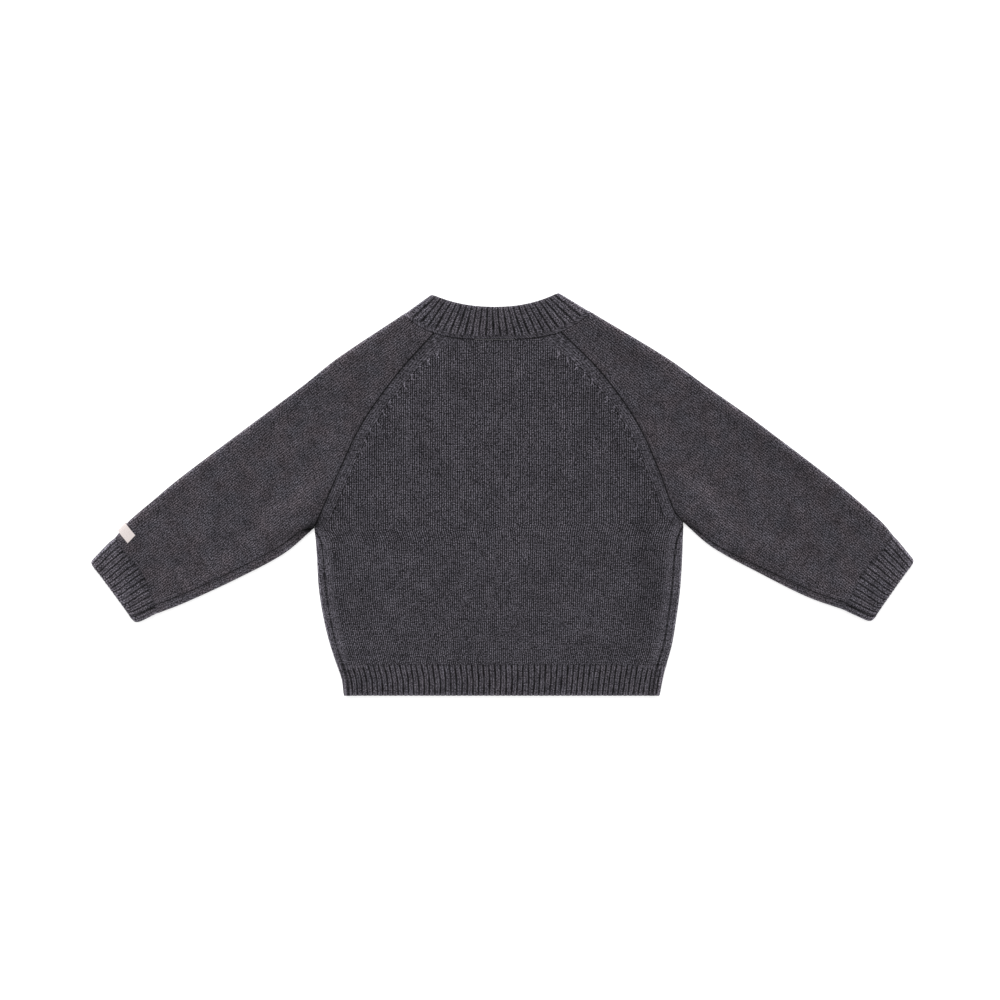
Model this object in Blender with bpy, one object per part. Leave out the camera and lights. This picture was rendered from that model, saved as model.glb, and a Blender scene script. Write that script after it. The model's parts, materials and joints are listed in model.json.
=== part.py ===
"""A child's raglan pullover in fine merino, laid flat on a table with its back upwards.

Lengths are in millimetres and become metres where a mesh is made. X runs across the chest, +Y
towards the neck and +Z up from the table. Each piece of knit is a wall bent round its folds: its
front half lies on the table, its back half lies on the front half, and both meet at round folds.
A piece is a list of rows. A row is a list of (middle of the wall, direction out of the wall).
"""

import math
from bisect import bisect_left
from collections import namedtuple

import bpy
from mathutils import Vector

MM = 0.001
JERSEY = 2.0  # wall of the plain knit
RIBBING = 2.6  # wall of the ribs
TAPE = 0.5  # wall of the woven label
SEAM = 0.2  # each edge stops this far from the seam line
CUFF_SEAM = 0.28  # this far from the wavy line of a cuff
NECK_SEAM = 0.45  # and this far from the tightly curved neck seam
AIR = 0.8  # between the two layers in the middle of a panel
FOLD_AIR = 2.4  # between them beside a fold, where the knit resists bending
FOLD_REACH = 16.0  # how far the fold's extra air reaches in
EDGE_BAND = 5.0  # closely spaced columns beside a seam
LABEL_GAP = 0.4

Side = namedtuple("Side", "y left left_roll right right_roll")
# Below the arms: the outline of both sides, and how far the front rolls over onto the back.
SIDES = [
    Side(-36.0, -178.3, 1.5, 171.8, 3.4),
    Side(-40.5, -177.8, 3.6, 171.6, 5.0),
    Side(-46.0, -177.3, 4.8, 171.2, 6.4),
    Side(-62.0, -176.2, 5.5, 170.5, 7.8),
    Side(-90.5, -174.3, 6.1, 168.6, 8.0),
    Side(-119.0, -169.6, 5.7, 164.8, 8.0),
    Side(-142.0, -163.9, 5.2, 161.0, 8.0),
    Side(-161.0, -157.7, 5.2, 155.8, 8.5),
    Side(-176.0, -152.5, 4.8, 152.5, 8.6),
    Side(-191.4, -150.1, 3.8, 149.2, 7.6),
]
HEM_TOP = 7  # the row of SIDES where the hem's ribs start

Neck = namedtuple("Neck", "left right back front")
Curve = namedtuple("Curve", "lowest power")
# The neckband's two edges: the seam, and the free edge that the head goes through. Each meets the
# left and the right fold at a corner, and sags between them to its lowest point, which is deeper
# on the front. A higher power makes a flatter middle.
NECK_MIDDLE = -7.1
NECK_CENTRE = 185.0
SEAM_EDGE = Neck((-94.2, 170.0), (84.5, 173.4), Curve(147.7, 3.0), Curve(115.5, 3.2))
FREE_EDGE = Neck((-67.0, 189.5), (52.7, 191.4), Curve(178.6, 2.2), Curve(146.5, 3.2))

Arm = namedtuple("Arm", "name crotch back_raglan front_raglan top under cuff_top cuff_under roll rib_line")
# A raglan starts on the neck's seam edge, so only the X of that point is given.
# rib_line says how far towards the shoulder the cuff's ribs start, from the top fold at 0 to the
# lower fold at 1.
LEFT = Arm(
    name="left",
    crotch=(-179.1, -31.8),
    back_raglan=[(-66.0,), (-100.5, 115.0), (-133.5, 68.9), (-155.5, 23.3), (-171.5, -13.5)],
    front_raglan=[(-80.0,), (-110.0, 105.0), (-137.0, 65.0), (-157.5, 21.0), (-172.0, -14.0)],
    top=[(-94.2, 170.0), (-154.4, 131.6), (-190.5, 103.1), (-241.5, 65.0),
         (-304.5, 17.6), (-332.0, -5.2), (-355.7, -25.6), (-368.1, -40.4)],
    under=[(-179.1, -31.8), (-208.5, -56.5), (-251.3, -79.3), (-300.7, -102.1), (-327.7, -112.9)],
    cuff_top=(-391.6, -64.6),
    cuff_under=(-347.2, -122.3),
    roll=9.0,
    rib_line=[(0.0, 0.0), (0.16, 0.8), (0.42, 4.8), (0.56, 6.0), (0.8, 3.4), (1.0, 0.0)],
)
RIGHT = Arm(
    name="right",
    crotch=(171.9, -26.4),
    back_raglan=[(55.0,), (93.8, 115.0), (126.8, 68.9), (147.9, 23.3), (162.0, -13.5)],
    front_raglan=[(67.0,), (99.0, 105.0), (129.5, 65.0), (149.5, 21.0), (162.5, -14.0)],
    top=[(84.5, 173.4), (153.4, 131.6), (193.3, 103.1), (236.5, 72.8),
         (309.2, 17.6), (336.8, -5.2), (360.5, -26.3), (371.0, -38.5)],
    under=[(171.9, -26.4), (200.9, -50.8), (242.7, -73.6), (288.3, -96.4), (323.8, -109.4)],
    cuff_top=(391.6, -62.8),
    cuff_under=(348.4, -121.5),
    roll=6.5,
    rib_line=[(0.0, 0.0), (0.18, 0.5), (0.38, 3.0), (0.54, 4.4), (0.78, 1.9), (1.0, 0.0)],
)
SHOULDER = 3  # the point of `top` that is straight across the sleeve from the armhole
# Rows of the knit, as shares of the way along it; they crowd where it turns round the armpit.
RAGLAN_SHARES = (0, 0.13, 0.27, 0.41, 0.54, 0.67, 0.79, 0.89, 0.955, 1)  # neck to armpit
ARM_SHARES = (0, 0.04, 0.09, 0.24, 0.4, 0.56, 0.72, 0.885, 1)  # armpit to cuff
ROLL_IN = 0.06  # the seam under the arm has its full roll from this share on
RIB_LINE_FROM = 0.72  # and its rows start to follow the cuff's wavy line here
CUFF_SHARES = (0, 0.34, 0.67, 1)
BAND_SHARES = (0, 0.34, 0.67, 1)

Label = namedtuple("Label", "fold along into width reach")
# The tape is folded over the left sleeve's top fold just above the cuff.
LABEL = Label((-362.0, -33.1), (-0.642, -0.767), (0.72, -0.694), 10.4, 15.0)
LABEL_FLAT = 24.0  # the sleeve is lifted by the tape's height this far round it
LABEL_FADE = 24.0  # and comes back to the table over this much more

SIDE_STEPS = (0.0, 0.28, 0.46, 0.55, 0.64, 0.73, 0.82, 0.91, 1.0)
EDGE_STEPS = (0.0, 0.3, 0.6, 1.0)
PANEL_COLUMNS = 9
SLEEVE_COLUMNS = 5
BAND_COLUMNS = 16
TURN = [90 + 30 * k for k in range(7)]  # the angles round a fold, from its top to its bottom
OUTERMOST = 180
CURVE_STEPS = 12
RIB_LINE_STEPS = 24
MARL = (0.052, 0.050, 0.057, 1.0)
MARL_RIB = (0.048, 0.046, 0.053, 1.0)
CREAM = (0.80, 0.77, 0.73, 1.0)


def plan(point):
    return Vector((point[0], point[1]))


def mix(a, b, share):
    return a + (b - a) * share


def spread(first, last, count):
    """count numbers strictly between first and last."""
    return [mix(first, last, (k + 1) / (count + 1)) for k in range(count)]


def smooth_line(points, shares):
    """The points at these shares of the length of a Catmull-Rom curve through points."""
    ends = [points[0] * 2 - points[1]] + points + [points[-1] * 2 - points[-2]]
    fine = []
    for a, b, c, d in zip(ends, ends[1:], ends[2:], ends[3:]):
        for t in (step / CURVE_STEPS for step in range(CURVE_STEPS)):
            bends = (c - a) * t + (a * 2 - b * 5 + c * 4 - d) * t**2 + (b * 3 - a - c * 3 + d) * t**3
            fine.append(b + bends / 2)
    fine.append(points[-1])
    lengths = [0.0]
    for a, b in zip(fine, fine[1:]):
        lengths.append(lengths[-1] + (b - a).length)
    found = []
    for share in shares:
        want = lengths[-1] * share
        k = min(bisect_left(lengths, want, 1), len(fine) - 1) - 1
        found.append(mix(fine[k], fine[k + 1], (want - lengths[k]) / (lengths[k + 1] - lengths[k])))
    return found


def distance_to_line(point, line):
    best = math.inf
    for a, b in zip(line, line[1:]):
        run = b - a
        share = min(max((point - a).dot(run) / run.length_squared, 0.0), 1.0)
        best = min(best, (point - a - run * share).length)
    return best


# ---- the neck's edges in plan ----


def neck(edge, curve, x):
    corner = edge.right if x > NECK_MIDDLE else edge.left
    share = abs((x - NECK_MIDDLE) / (corner[0] - NECK_MIDDLE))
    return Vector((x, curve.lowest + (corner[1] - curve.lowest) * share**curve.power))


def back_neck(edge, x):
    return neck(edge, edge.back, x)


def front_neck(edge, x):
    return neck(edge, edge.front, x)


# ---- the folds, and the heights that follow from them ----

FOLDS = []
for arm in (LEFT, RIGHT):
    FOLDS.append([plan(p) for p in arm.top] + [plan(arm.cuff_top)])
    FOLDS.append([plan(p) for p in arm.under] + [plan(arm.cuff_under)])
    FOLDS.append([plan(arm.crotch)] + [Vector((getattr(row, arm.name), row.y)) for row in SIDES])
    FOLDS.append([plan(getattr(edge, arm.name)) for edge in (SEAM_EDGE, FREE_EDGE)])


def ramp(value, first, last):
    return min(max((value - first) / (last - first), 0.0), 1.0)


def lift(point):
    """How far the tape under the left sleeve's edge holds the knit off the table."""
    centre = plan(LABEL.fold) + plan(LABEL.into) * LABEL.reach / 2
    away = (point - centre).length
    return (TAPE + LABEL_GAP) * (1 - ramp(away, LABEL_FLAT, LABEL_FLAT + LABEL_FADE))


def top_height(point, wall):
    near = min(distance_to_line(point, line) for line in FOLDS)
    air = mix(FOLD_AIR, AIR, ramp(near, fold_depth(JERSEY), FOLD_REACH))
    return 1.5 * wall + air + lift(point)


def fold_radius(wall):
    return (wall + FOLD_AIR) / 2


def fold_depth(wall):
    """How far from the outline the round of a fold becomes flat."""
    return fold_radius(wall) + wall / 2


def on_back(point, wall):
    return point.to_3d() + Vector((0, 0, top_height(point, wall))), Vector((0, 0, 1))


def on_front(point, wall):
    return point.to_3d() + Vector((0, 0, wall / 2 + lift(point))), Vector((0, 0, -1))


def round_fold(tip, back_way, front_way, wall, angle):
    """A point round the fold whose outline passes through tip; 90 is its top, 270 its bottom."""
    way = mix(back_way.normalized(), front_way.normalized(), (angle - 90) / 180).normalized()
    a = math.radians(angle)
    radius = fold_radius(wall)
    out = (way * math.cos(a)).to_3d() + Vector((0, 0, math.sin(a)))
    centre = (tip + way * fold_depth(wall)).to_3d() + Vector((0, 0, wall / 2 + radius + lift(tip)))
    return centre + out * radius, out


def quarter(wall):
    return fold_radius(wall) * math.pi / 2


def path_to(inset, wall):
    """The length along the knit from a fold's outermost line to a seam this far in from it."""
    if inset >= fold_depth(wall):
        return quarter(wall) + inset - fold_depth(wall)
    cosine = max((inset - fold_depth(wall)) / fold_radius(wall), -1.0)
    return fold_radius(wall) * (math.pi - math.acos(cosine))


def beside_fold(tip, way, wall, path):
    """The point this length along the knit from the fold: onto the back, or the front if negative."""
    past = abs(path) - quarter(wall)
    if past >= 0:
        flat = on_back if path > 0 else on_front
        return flat(tip + way * (fold_depth(wall) + past), wall)
    turned = math.degrees(path / fold_radius(wall))
    return round_fold(tip, way, way, wall, OUTERMOST - turned)


# ---- meshes ----


def material(name, colour, roughness):
    made = bpy.data.materials.new(name)
    made.use_nodes = True
    shader = made.node_tree.nodes["Principled BSDF"]
    shader.inputs["Base Color"].default_value = colour
    shader.inputs["Roughness"].default_value = roughness
    return made


def piece(name, rows, wall, finish, ring=False):
    """One solid: the outer and the inner face of the rows, closed by a rim round all free edges."""
    columns = len(rows[0])
    points = [centre + out * wall / 2 for row in rows for centre, out in row]
    points += [centre - out * wall / 2 for row in rows for centre, out in row]
    inner = len(rows) * columns

    def at(row, column):
        return row * columns + column % columns

    faces = []
    for r in range(len(rows) - 1):
        for c in range(columns if ring else columns - 1):
            quad = [at(r, c), at(r, c + 1), at(r + 1, c + 1), at(r + 1, c)]
            faces += [quad, [inner + k for k in reversed(quad)]]
    border = []
    for c in range(columns if ring else columns - 1):
        border += [(at(0, c + 1), at(0, c)), (at(len(rows) - 1, c), at(len(rows) - 1, c + 1))]
    if not ring:
        for r in range(len(rows) - 1):
            border += [(at(r, 0), at(r + 1, 0)), (at(r + 1, columns - 1), at(r, columns - 1))]
    faces += [[a, b, inner + b, inner + a] for a, b in border]
    mesh = bpy.data.meshes.new(name)
    mesh.from_pydata([p * MM for p in points], [], faces)
    if enclosed_volume(mesh) < 0:
        mesh.flip_normals()
    mesh.validate()
    mesh.shade_smooth()
    mesh.set_sharp_from_angle(angle=math.radians(50))
    made = bpy.data.objects.new(name, mesh)
    made.data.materials.append(finish)
    bpy.context.scene.collection.objects.link(made)
    return made


def enclosed_volume(mesh):
    mesh.calc_loop_triangles()
    corners = [[mesh.vertices[k].co for k in t.vertices] for t in mesh.loop_triangles]
    return sum(a.dot(b.cross(c)) for a, b, c in corners) / 6


# ---- rows of the body ----


def bend(points, ends, edge_points, fade):
    """Points of a straight row, moved by fade towards a curved edge that shares its ends."""
    a, b = ends
    return [p + (e - mix(a, b, share)) * fade for (share, p), e in zip(points, edge_points)]


def straight(a, b, before, count, after):
    """(share, point) along a to b: columns beside both ends as asked, and count between."""
    length = (b - a).length
    shares = [d / length for d in before]
    tail = [1 - d / length for d in reversed(after)]
    shares += spread(shares[-1], tail[0], count) + tail
    return [(share, mix(a, b, share)) for share in shares]


def edge_band(steps):
    return [SEAM + EDGE_BAND * s for s in steps]


def back_body_row(left, right, left_roll, right_roll, wall):
    """Below the arms: from side seam to side seam across the top."""
    way = (right - left).normalized()
    near = [path_to(left_roll, wall) + d for d in edge_band(EDGE_STEPS)]
    far = [path_to(right_roll, wall) + d for d in edge_band(EDGE_STEPS)]
    row = [beside_fold(left, way, wall, path) for path in near]
    row_end = [beside_fold(right, -way, wall, path) for path in reversed(far)]
    a, b = row[-1][0].to_2d(), row_end[0][0].to_2d()
    row += [on_back(mix(a, b, s), wall) for s in spread(0, 1, PANEL_COLUMNS)]
    return row + row_end


def rolled_side(tip, way, roll, wall):
    """From the side seam on the back, round the fold, to where the front lies flat."""
    start = path_to(roll, wall) - SEAM
    return [beside_fold(tip, way, wall, mix(start, -quarter(wall), s)) for s in SIDE_STEPS]


def front_body_row(left, right, left_roll, right_roll, wall):
    """Below the arms: rolled over both folds, and across the table between them."""
    way = (right - left).normalized()
    row = rolled_side(left, way, left_roll, wall)
    row_end = rolled_side(right, -way, right_roll, wall)[::-1]
    a, b = row[-1][0].to_2d(), row_end[0][0].to_2d()
    row += [on_front(mix(a, b, s), wall) for s in spread(0, 1, PANEL_COLUMNS)]
    return row + row_end


def raglan(arm, points, edge_point):
    """The seam from the neck to the armhole."""
    known = [edge_point] + [plan(p) for p in points[1:]] + [plan(arm.crotch)]
    return smooth_line(known, RAGLAN_SHARES)


def back_top(arm):
    return back_neck(SEAM_EDGE, arm.back_raglan[0][0])


def front_top(arm):
    return front_neck(SEAM_EDGE, arm.front_raglan[0][0])


BACK_SEAM = {arm.name: raglan(arm, arm.back_raglan, back_top(arm)) for arm in (LEFT, RIGHT)}
FRONT_SEAM = {arm.name: raglan(arm, arm.front_raglan, front_top(arm)) for arm in (LEFT, RIGHT)}


def neck_fade(k):
    return (1 - RAGLAN_SHARES[k]) ** 2


def from_neck(point, distance):
    """The point moved away from the middle of the neck, to clear its seam."""
    return point + (point - Vector((NECK_MIDDLE, NECK_CENTRE))).normalized() * distance


def below(points):
    return [from_neck(p, NECK_SEAM) for p in points]


def belt_rows(body_row, sides, wall, gap):
    """Rows below the arms. The row on the seam between knit and ribs keeps this gap from it."""
    rows = []
    for row in sides:
        y = row.y + (gap if row is SIDES[HEM_TOP] else 0)
        ends = Vector((row.left, y)), Vector((row.right, y))
        rows.append(body_row(*ends, row.left_roll, row.right_roll, wall))
    return rows


def back_panel_rows():
    rows = []
    ends = BACK_SEAM["left"][0], BACK_SEAM["right"][0]
    for k in range(len(RAGLAN_SHARES) - 1):
        a, b = BACK_SEAM["left"][k], BACK_SEAM["right"][k]
        line = straight(a, b, edge_band(EDGE_STEPS), PANEL_COLUMNS, edge_band(EDGE_STEPS))
        curve = [back_neck(SEAM_EDGE, mix(ends[0].x, ends[1].x, share)) for share, _ in line]
        points = bend(line, ends, curve, neck_fade(k))
        rows.append([on_back(p, JERSEY) for p in (below(points) if k == 0 else points)])
    rows.append(back_body_row(plan(LEFT.crotch), plan(RIGHT.crotch), 0, 0, JERSEY))
    return rows + belt_rows(back_body_row, SIDES[: HEM_TOP + 1], JERSEY, SEAM)


def front_panel_rows():
    rows = []
    ends = FRONT_SEAM["left"][0], FRONT_SEAM["right"][0]
    for k in range(len(RAGLAN_SHARES) - 1):
        a, b = FRONT_SEAM["left"][k], FRONT_SEAM["right"][k]
        line = straight(a, b, edge_band(SIDE_STEPS), PANEL_COLUMNS, edge_band(SIDE_STEPS))
        curve = [front_neck(SEAM_EDGE, mix(ends[0].x, ends[1].x, share)) for share, _ in line]
        points = bend(line, ends, curve, neck_fade(k))
        rows.append([on_front(p, JERSEY) for p in (below(points) if k == 0 else points)])
    rows.append(front_body_row(plan(LEFT.crotch), plan(RIGHT.crotch), 0, 0, JERSEY))
    return rows + belt_rows(front_body_row, SIDES[: HEM_TOP + 1], JERSEY, SEAM)


def hem_rows(body_row):
    return belt_rows(body_row, SIDES[HEM_TOP:], RIBBING, -SEAM)


# ---- rows of the sleeves ----


def sleeve_cap_rows(arm):
    """Beside the armhole: from the back raglan, over the top fold, to the front raglan."""
    backs, fronts = BACK_SEAM[arm.name], FRONT_SEAM[arm.name]
    tips = smooth_line([plan(p) for p in arm.top[: SHOULDER + 1]], RAGLAN_SHARES)
    fold = fold_depth(JERSEY)
    rows = []
    for k in range(len(RAGLAN_SHARES) - 1):
        tip = tips[k]
        back = straight(backs[k], tip, edge_band(EDGE_STEPS), SLEEVE_COLUMNS, [fold])
        curve = [back_neck(SEAM_EDGE, mix(backs[0].x, tips[0].x, share)) for share, _ in back]
        back = bend(back, (backs[0], tips[0]), curve, neck_fade(k))
        front = straight(tip, fronts[k], [fold], SLEEVE_COLUMNS, edge_band(SIDE_STEPS))
        curve = [front_neck(SEAM_EDGE, mix(tips[0].x, fronts[0].x, share)) for share, _ in front]
        front = bend(front, (tips[0], fronts[0]), curve, neck_fade(k))
        if k == 0:
            tip, back, front = below([tip])[0], below(back), below(front)
        ways = back[-1] - tip, front[0] - tip
        row = [on_back(p, JERSEY) for p in back[:-1]]
        row += [round_fold(tip, *ways, JERSEY, angle) for angle in TURN]
        rows.append(row + [on_front(p, JERSEY) for p in front[1:]])
    return rows


def arm_row(top, under, roll, wall):
    """Past the armhole: a flattened tube with its seam rolled onto the back."""
    way = (top - under).normalized()
    seam = path_to(roll, wall)
    row = [beside_fold(under, way, wall, seam + d) for d in edge_band(EDGE_STEPS)]
    flat_top = top - way * fold_depth(wall)
    flat_under = under + way * fold_depth(wall)
    start = row[-1][0].to_2d()
    row += [on_back(mix(start, flat_top, s), wall) for s in spread(0, 1, SLEEVE_COLUMNS)]
    row += [round_fold(top, -way, -way, wall, angle) for angle in TURN]
    row += [on_front(mix(flat_top, flat_under, s), wall) for s in spread(0, 1, SLEEVE_COLUMNS)]
    return row + rolled_side(under, way, roll, wall)[::-1]


def sleeve_rows(arm):
    rows = sleeve_cap_rows(arm)
    tops = smooth_line([plan(p) for p in arm.top[SHOULDER:]], ARM_SHARES)
    unders = smooth_line([plan(p) for p in arm.under], ARM_SHARES)
    unders[0] += Vector((math.copysign(2 * SEAM, unders[0].x), 0))
    tops[-1] -= cuff_way(arm) * CUFF_SEAM
    unders[-1] -= cuff_way(arm) * CUFF_SEAM
    for share, top, under in zip(ARM_SHARES, tops, unders):
        row = arm_row(top, under, arm.roll * ramp(share, 0, ROLL_IN), JERSEY)
        rows.append(to_rib_line(arm, row, top, under, ramp(share, RIB_LINE_FROM, 1)))
    return rows


def cuff_way(arm):
    ends = plan(arm.cuff_top) + plan(arm.cuff_under)
    return (ends - plan(arm.top[-1]) - plan(arm.under[-1])).normalized()


def rib_start(arm, share):
    """How far towards the shoulder the ribs start at this share of the way to the lower fold."""
    shares = [k / RIB_LINE_STEPS for k in range(RIB_LINE_STEPS + 1)]
    line = smooth_line([plan(p) for p in arm.rib_line], shares)
    places = [p.x for p in line]
    k = min(max(bisect_left(places, share), 1), len(line) - 1)
    part = ramp(share, places[k - 1], places[k])
    return mix(line[k - 1].y, line[k].y, part)


def to_rib_line(arm, row, top, under, strength):
    """The row moved along the arm towards the wavy line on which the ribs start."""
    run = under - top
    fold = fold_depth(RIBBING) / run.length
    moved = []
    for centre, out in row:
        share = (centre.to_2d() - top).dot(run) / run.length_squared
        share = min(max(share, fold), 1 - fold)
        back = cuff_way(arm) * -rib_start(arm, share) * strength
        moved.append((centre + back.to_3d(), out))
    return moved


def cuff_rows(arm):
    rows = []
    for share in CUFF_SHARES:
        gap = cuff_way(arm) * (CUFF_SEAM if share == 0 else 0)
        top = mix(plan(arm.top[-1]), plan(arm.cuff_top), share) + gap
        under = mix(plan(arm.under[-1]), plan(arm.cuff_under), share) + gap
        row = arm_row(top, under, arm.roll, RIBBING)
        rows.append(to_rib_line(arm, row, top, under, 1 - share))
    return rows


# ---- neckband and label ----


def band_point(face, share, place):
    """A point of the neckband: share of the way to its free edge, place from 0 at the left fold."""
    points = [face(edge, mix(edge.left[0], edge.right[0], place)) for edge in (SEAM_EDGE, FREE_EDGE)]
    point = mix(*points, share)
    return from_neck(point, -NECK_SEAM) if share == 0 else point


def neckband_rows():
    """Closed rows: over the back, round the right fold, under the front, round the left fold."""
    rows = []
    for share in BAND_SHARES:
        left, right = (band_point(back_neck, share, end) for end in (0, 1))
        near = fold_depth(RIBBING) / (right - left).length
        start = math.acos(1 - 2 * near)
        places = [(1 - math.cos(a)) / 2 for a in spread(start, math.pi - start, BAND_COLUMNS)]
        backs = [band_point(back_neck, share, place) for place in spread(near, 1 - near, BAND_COLUMNS)]
        fronts = [band_point(front_neck, share, place) for place in places]
        left_ways, right_ways = (
            [band_point(face, share, abs(end - near)) - tip for face in (back_neck, front_neck)]
            for end, tip in enumerate((left, right))
        )
        row = [on_back(p, RIBBING) for p in backs]
        row += [round_fold(right, *right_ways, RIBBING, angle) for angle in TURN]
        row += [on_front(p, RIBBING) for p in reversed(fronts)]
        row += [round_fold(left, *left_ways, RIBBING, angle) for angle in reversed(TURN)]
        rows.append(row)
    return rows


def label_rows():
    """Three rows across the tape, each from its end on the back to its end under the sleeve."""
    fold, along, into = plan(LABEL.fold), plan(LABEL.along), plan(LABEL.into)
    clear = JERSEY / 2 + LABEL_GAP + TAPE / 2
    depth = fold_depth(JERSEY)
    rows = []
    for place in (-0.5, 0.0, 0.5):
        tip = fold + along * LABEL.width * place
        row = []
        for reach in (LABEL.reach, LABEL.reach * 0.6, LABEL.reach * 0.35):
            centre, out = on_back(tip + into * reach, JERSEY)
            row.append((centre + out * clear, out))
        for angle in TURN:
            centre, out = round_fold(tip, into, into, JERSEY, angle)
            row.append((centre + out * clear, out))
        for reach in (depth * 2, LABEL.reach * 0.7, LABEL.reach):
            centre, out = on_front(tip + into * reach, JERSEY)
            row.append((centre + out * clear, out))
        rows.append(row)
    return rows


def main():
    for old in list(bpy.data.objects):
        bpy.data.objects.remove(old)
    jersey = material("merino_jersey", MARL, 0.9)
    ribs = material("merino_rib", MARL_RIB, 0.9)
    tape = material("woven_tape", CREAM, 0.75)
    piece("front_panel", front_panel_rows(), JERSEY, jersey)
    piece("back_panel", back_panel_rows(), JERSEY, jersey)
    piece("hem_rib_front", hem_rows(front_body_row), RIBBING, ribs)
    piece("hem_rib_back", hem_rows(back_body_row), RIBBING, ribs)
    for arm in (LEFT, RIGHT):
        piece(f"sleeve_{arm.name}", sleeve_rows(arm), JERSEY, jersey)
        piece(f"cuff_{arm.name}", cuff_rows(arm), RIBBING, ribs)
    piece("neckband", neckband_rows(), RIBBING, ribs, ring=True)
    piece("wrist_label", label_rows(), TAPE, tape)


main()
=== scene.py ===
# %% [markdown]
# # A child's merino pullover, laid flat with its back upwards
#
# The real pullover is knitted in pieces and then put together: a back, a front, two sleeves that
# run up to the neck in slanting raglan seams, and ribs at the hem, the cuffs and the neck. A small
# woven tape is folded over the edge of the left sleeve.
#
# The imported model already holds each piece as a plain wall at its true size. This lesson dresses
# those walls. Each piece is made again as a fine shell on the same sizes, with its ribs, seams and
# creases as real relief, and the stitches come from one shader that counts wales and courses.

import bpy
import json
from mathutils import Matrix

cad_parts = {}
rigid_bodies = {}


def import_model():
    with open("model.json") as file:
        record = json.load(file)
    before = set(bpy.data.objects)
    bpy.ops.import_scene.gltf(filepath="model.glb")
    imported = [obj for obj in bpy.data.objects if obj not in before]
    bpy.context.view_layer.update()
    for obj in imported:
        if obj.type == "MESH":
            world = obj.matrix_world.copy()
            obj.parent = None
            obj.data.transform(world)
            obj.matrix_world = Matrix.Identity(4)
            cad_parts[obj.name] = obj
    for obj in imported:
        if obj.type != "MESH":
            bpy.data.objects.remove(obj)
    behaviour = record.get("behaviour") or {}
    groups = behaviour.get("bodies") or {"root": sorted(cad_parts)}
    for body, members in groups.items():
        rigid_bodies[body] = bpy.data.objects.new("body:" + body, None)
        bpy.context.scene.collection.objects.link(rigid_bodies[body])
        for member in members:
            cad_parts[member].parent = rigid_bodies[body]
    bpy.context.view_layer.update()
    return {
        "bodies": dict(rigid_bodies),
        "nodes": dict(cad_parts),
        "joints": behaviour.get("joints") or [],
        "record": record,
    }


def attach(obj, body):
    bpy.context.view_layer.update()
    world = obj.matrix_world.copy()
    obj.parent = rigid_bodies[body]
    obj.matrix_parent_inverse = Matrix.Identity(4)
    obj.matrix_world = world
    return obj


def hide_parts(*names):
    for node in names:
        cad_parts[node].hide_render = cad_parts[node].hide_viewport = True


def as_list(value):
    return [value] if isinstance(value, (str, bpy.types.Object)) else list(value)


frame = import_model()

# %% Tools for this lesson
import json
import math
from collections import namedtuple

import bpy
import numpy as np

MM = 0.001

# %% [markdown]
# ## Sizes
#
# All sizes are in millimetres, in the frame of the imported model: X across the chest, +Y towards
# the neck, +Z up. `Side` gives the outline below the arms, and how far the front rolls over onto
# the back. Each sleeve has the outline of its upper and its lower fold. The neckband has a seam
# edge and a free edge, and each sags between its two corners.

# %% Cloth, seams and folds
JERSEY = 2.0
RIBBING = 2.6
TAPE = 0.5
SEAM = 0.04  # how far each piece keeps from the line of its seam
NECK_SEAM = 0.04
KNIT_ON = 0.02  # where ribs grow out of the plain knit there is no seam to see
AIR = 0.8  # between the two layers
FOLD_AIR = 2.4  # the same beside a fold
FOLD_REACH = 16.0  # how far in from a fold that goes
DEEPEST = -0.55  # no valley sinks further, as the front lies below
WALE = 2.14
COURSE = 1.57

Side = namedtuple("Side", "y left left_roll right right_roll")
SIDES = [
    Side(-36.0, -178.3, 1.5, 171.8, 3.4),
    Side(-40.5, -177.8, 3.6, 171.6, 5.0),
    Side(-46.0, -177.5, 5.5, 171.5, 6.4),
    Side(-62.0, -176.5, 6.3, 170.9, 7.8),
    Side(-90.5, -174.7, 6.9, 169.0, 8.0),
    Side(-119.0, -170.0, 6.5, 165.2, 8.0),
    Side(-142.0, -164.3, 6.0, 161.4, 8.0),
    Side(-161.0, -158.1, 6.0, 156.2, 8.5),
    Side(-176.0, -153.1, 5.6, 152.8, 8.5),
    Side(-191.4, -151.0, 4.8, 149.5, 7.6),
]
RIB_START = -161.0
HEM_END = SIDES[-1].y

Neck = namedtuple("Neck", "left right back front")
Curve = namedtuple("Curve", "lowest power")
NECK_MIDDLE = -7.1
NECK_CENTRE = np.array([NECK_MIDDLE, 185.0])
SEAM_EDGE = Neck((-94.6, 171.2), (84.5, 173.4), Curve(147.3, 3.3), Curve(115.5, 3.2))
FREE_EDGE = Neck((-67.6, 190.5), (53.4, 192.1), Curve(178.6, 2.2), Curve(146.5, 3.2))

Arm = namedtuple(
    "Arm", "name crotch back_raglan front_raglan top under cuff_top cuff_under roll rib_line"
)
LEFT = Arm(
    name="left",
    crotch=(-179.1, -31.8),
    back_raglan=[-65.5, (-100.0, 114.7), (-133.0, 68.6), (-155.0, 23.0), (-171.2, -13.6)],
    front_raglan=[-80.0, (-110.0, 105.0), (-137.0, 65.0), (-158.0, 21.0), (-174.0, -14.4)],
    top=[(-94.6, 171.2), (-154.4, 131.6), (-190.5, 103.1), (-241.5, 65.0),
         (-304.5, 17.6), (-332.0, -5.2), (-355.7, -25.6), (-368.1, -40.4)],
    under=[(-179.1, -31.8), (-208.5, -56.5), (-251.4, -79.5), (-300.8, -102.4), (-327.8, -113.2)],
    cuff_top=(-391.6, -64.6),
    cuff_under=(-347.2, -122.3),
    roll=[(0.0, 0.0), (0.08, 7.0), (0.3, 8.2), (1.0, 7.9)],
    rib_line=[(0.0, 0.0), (0.16, 0.8), (0.42, 4.8), (0.56, 6.0), (0.8, 3.4), (1.0, 0.0)],
)
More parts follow.
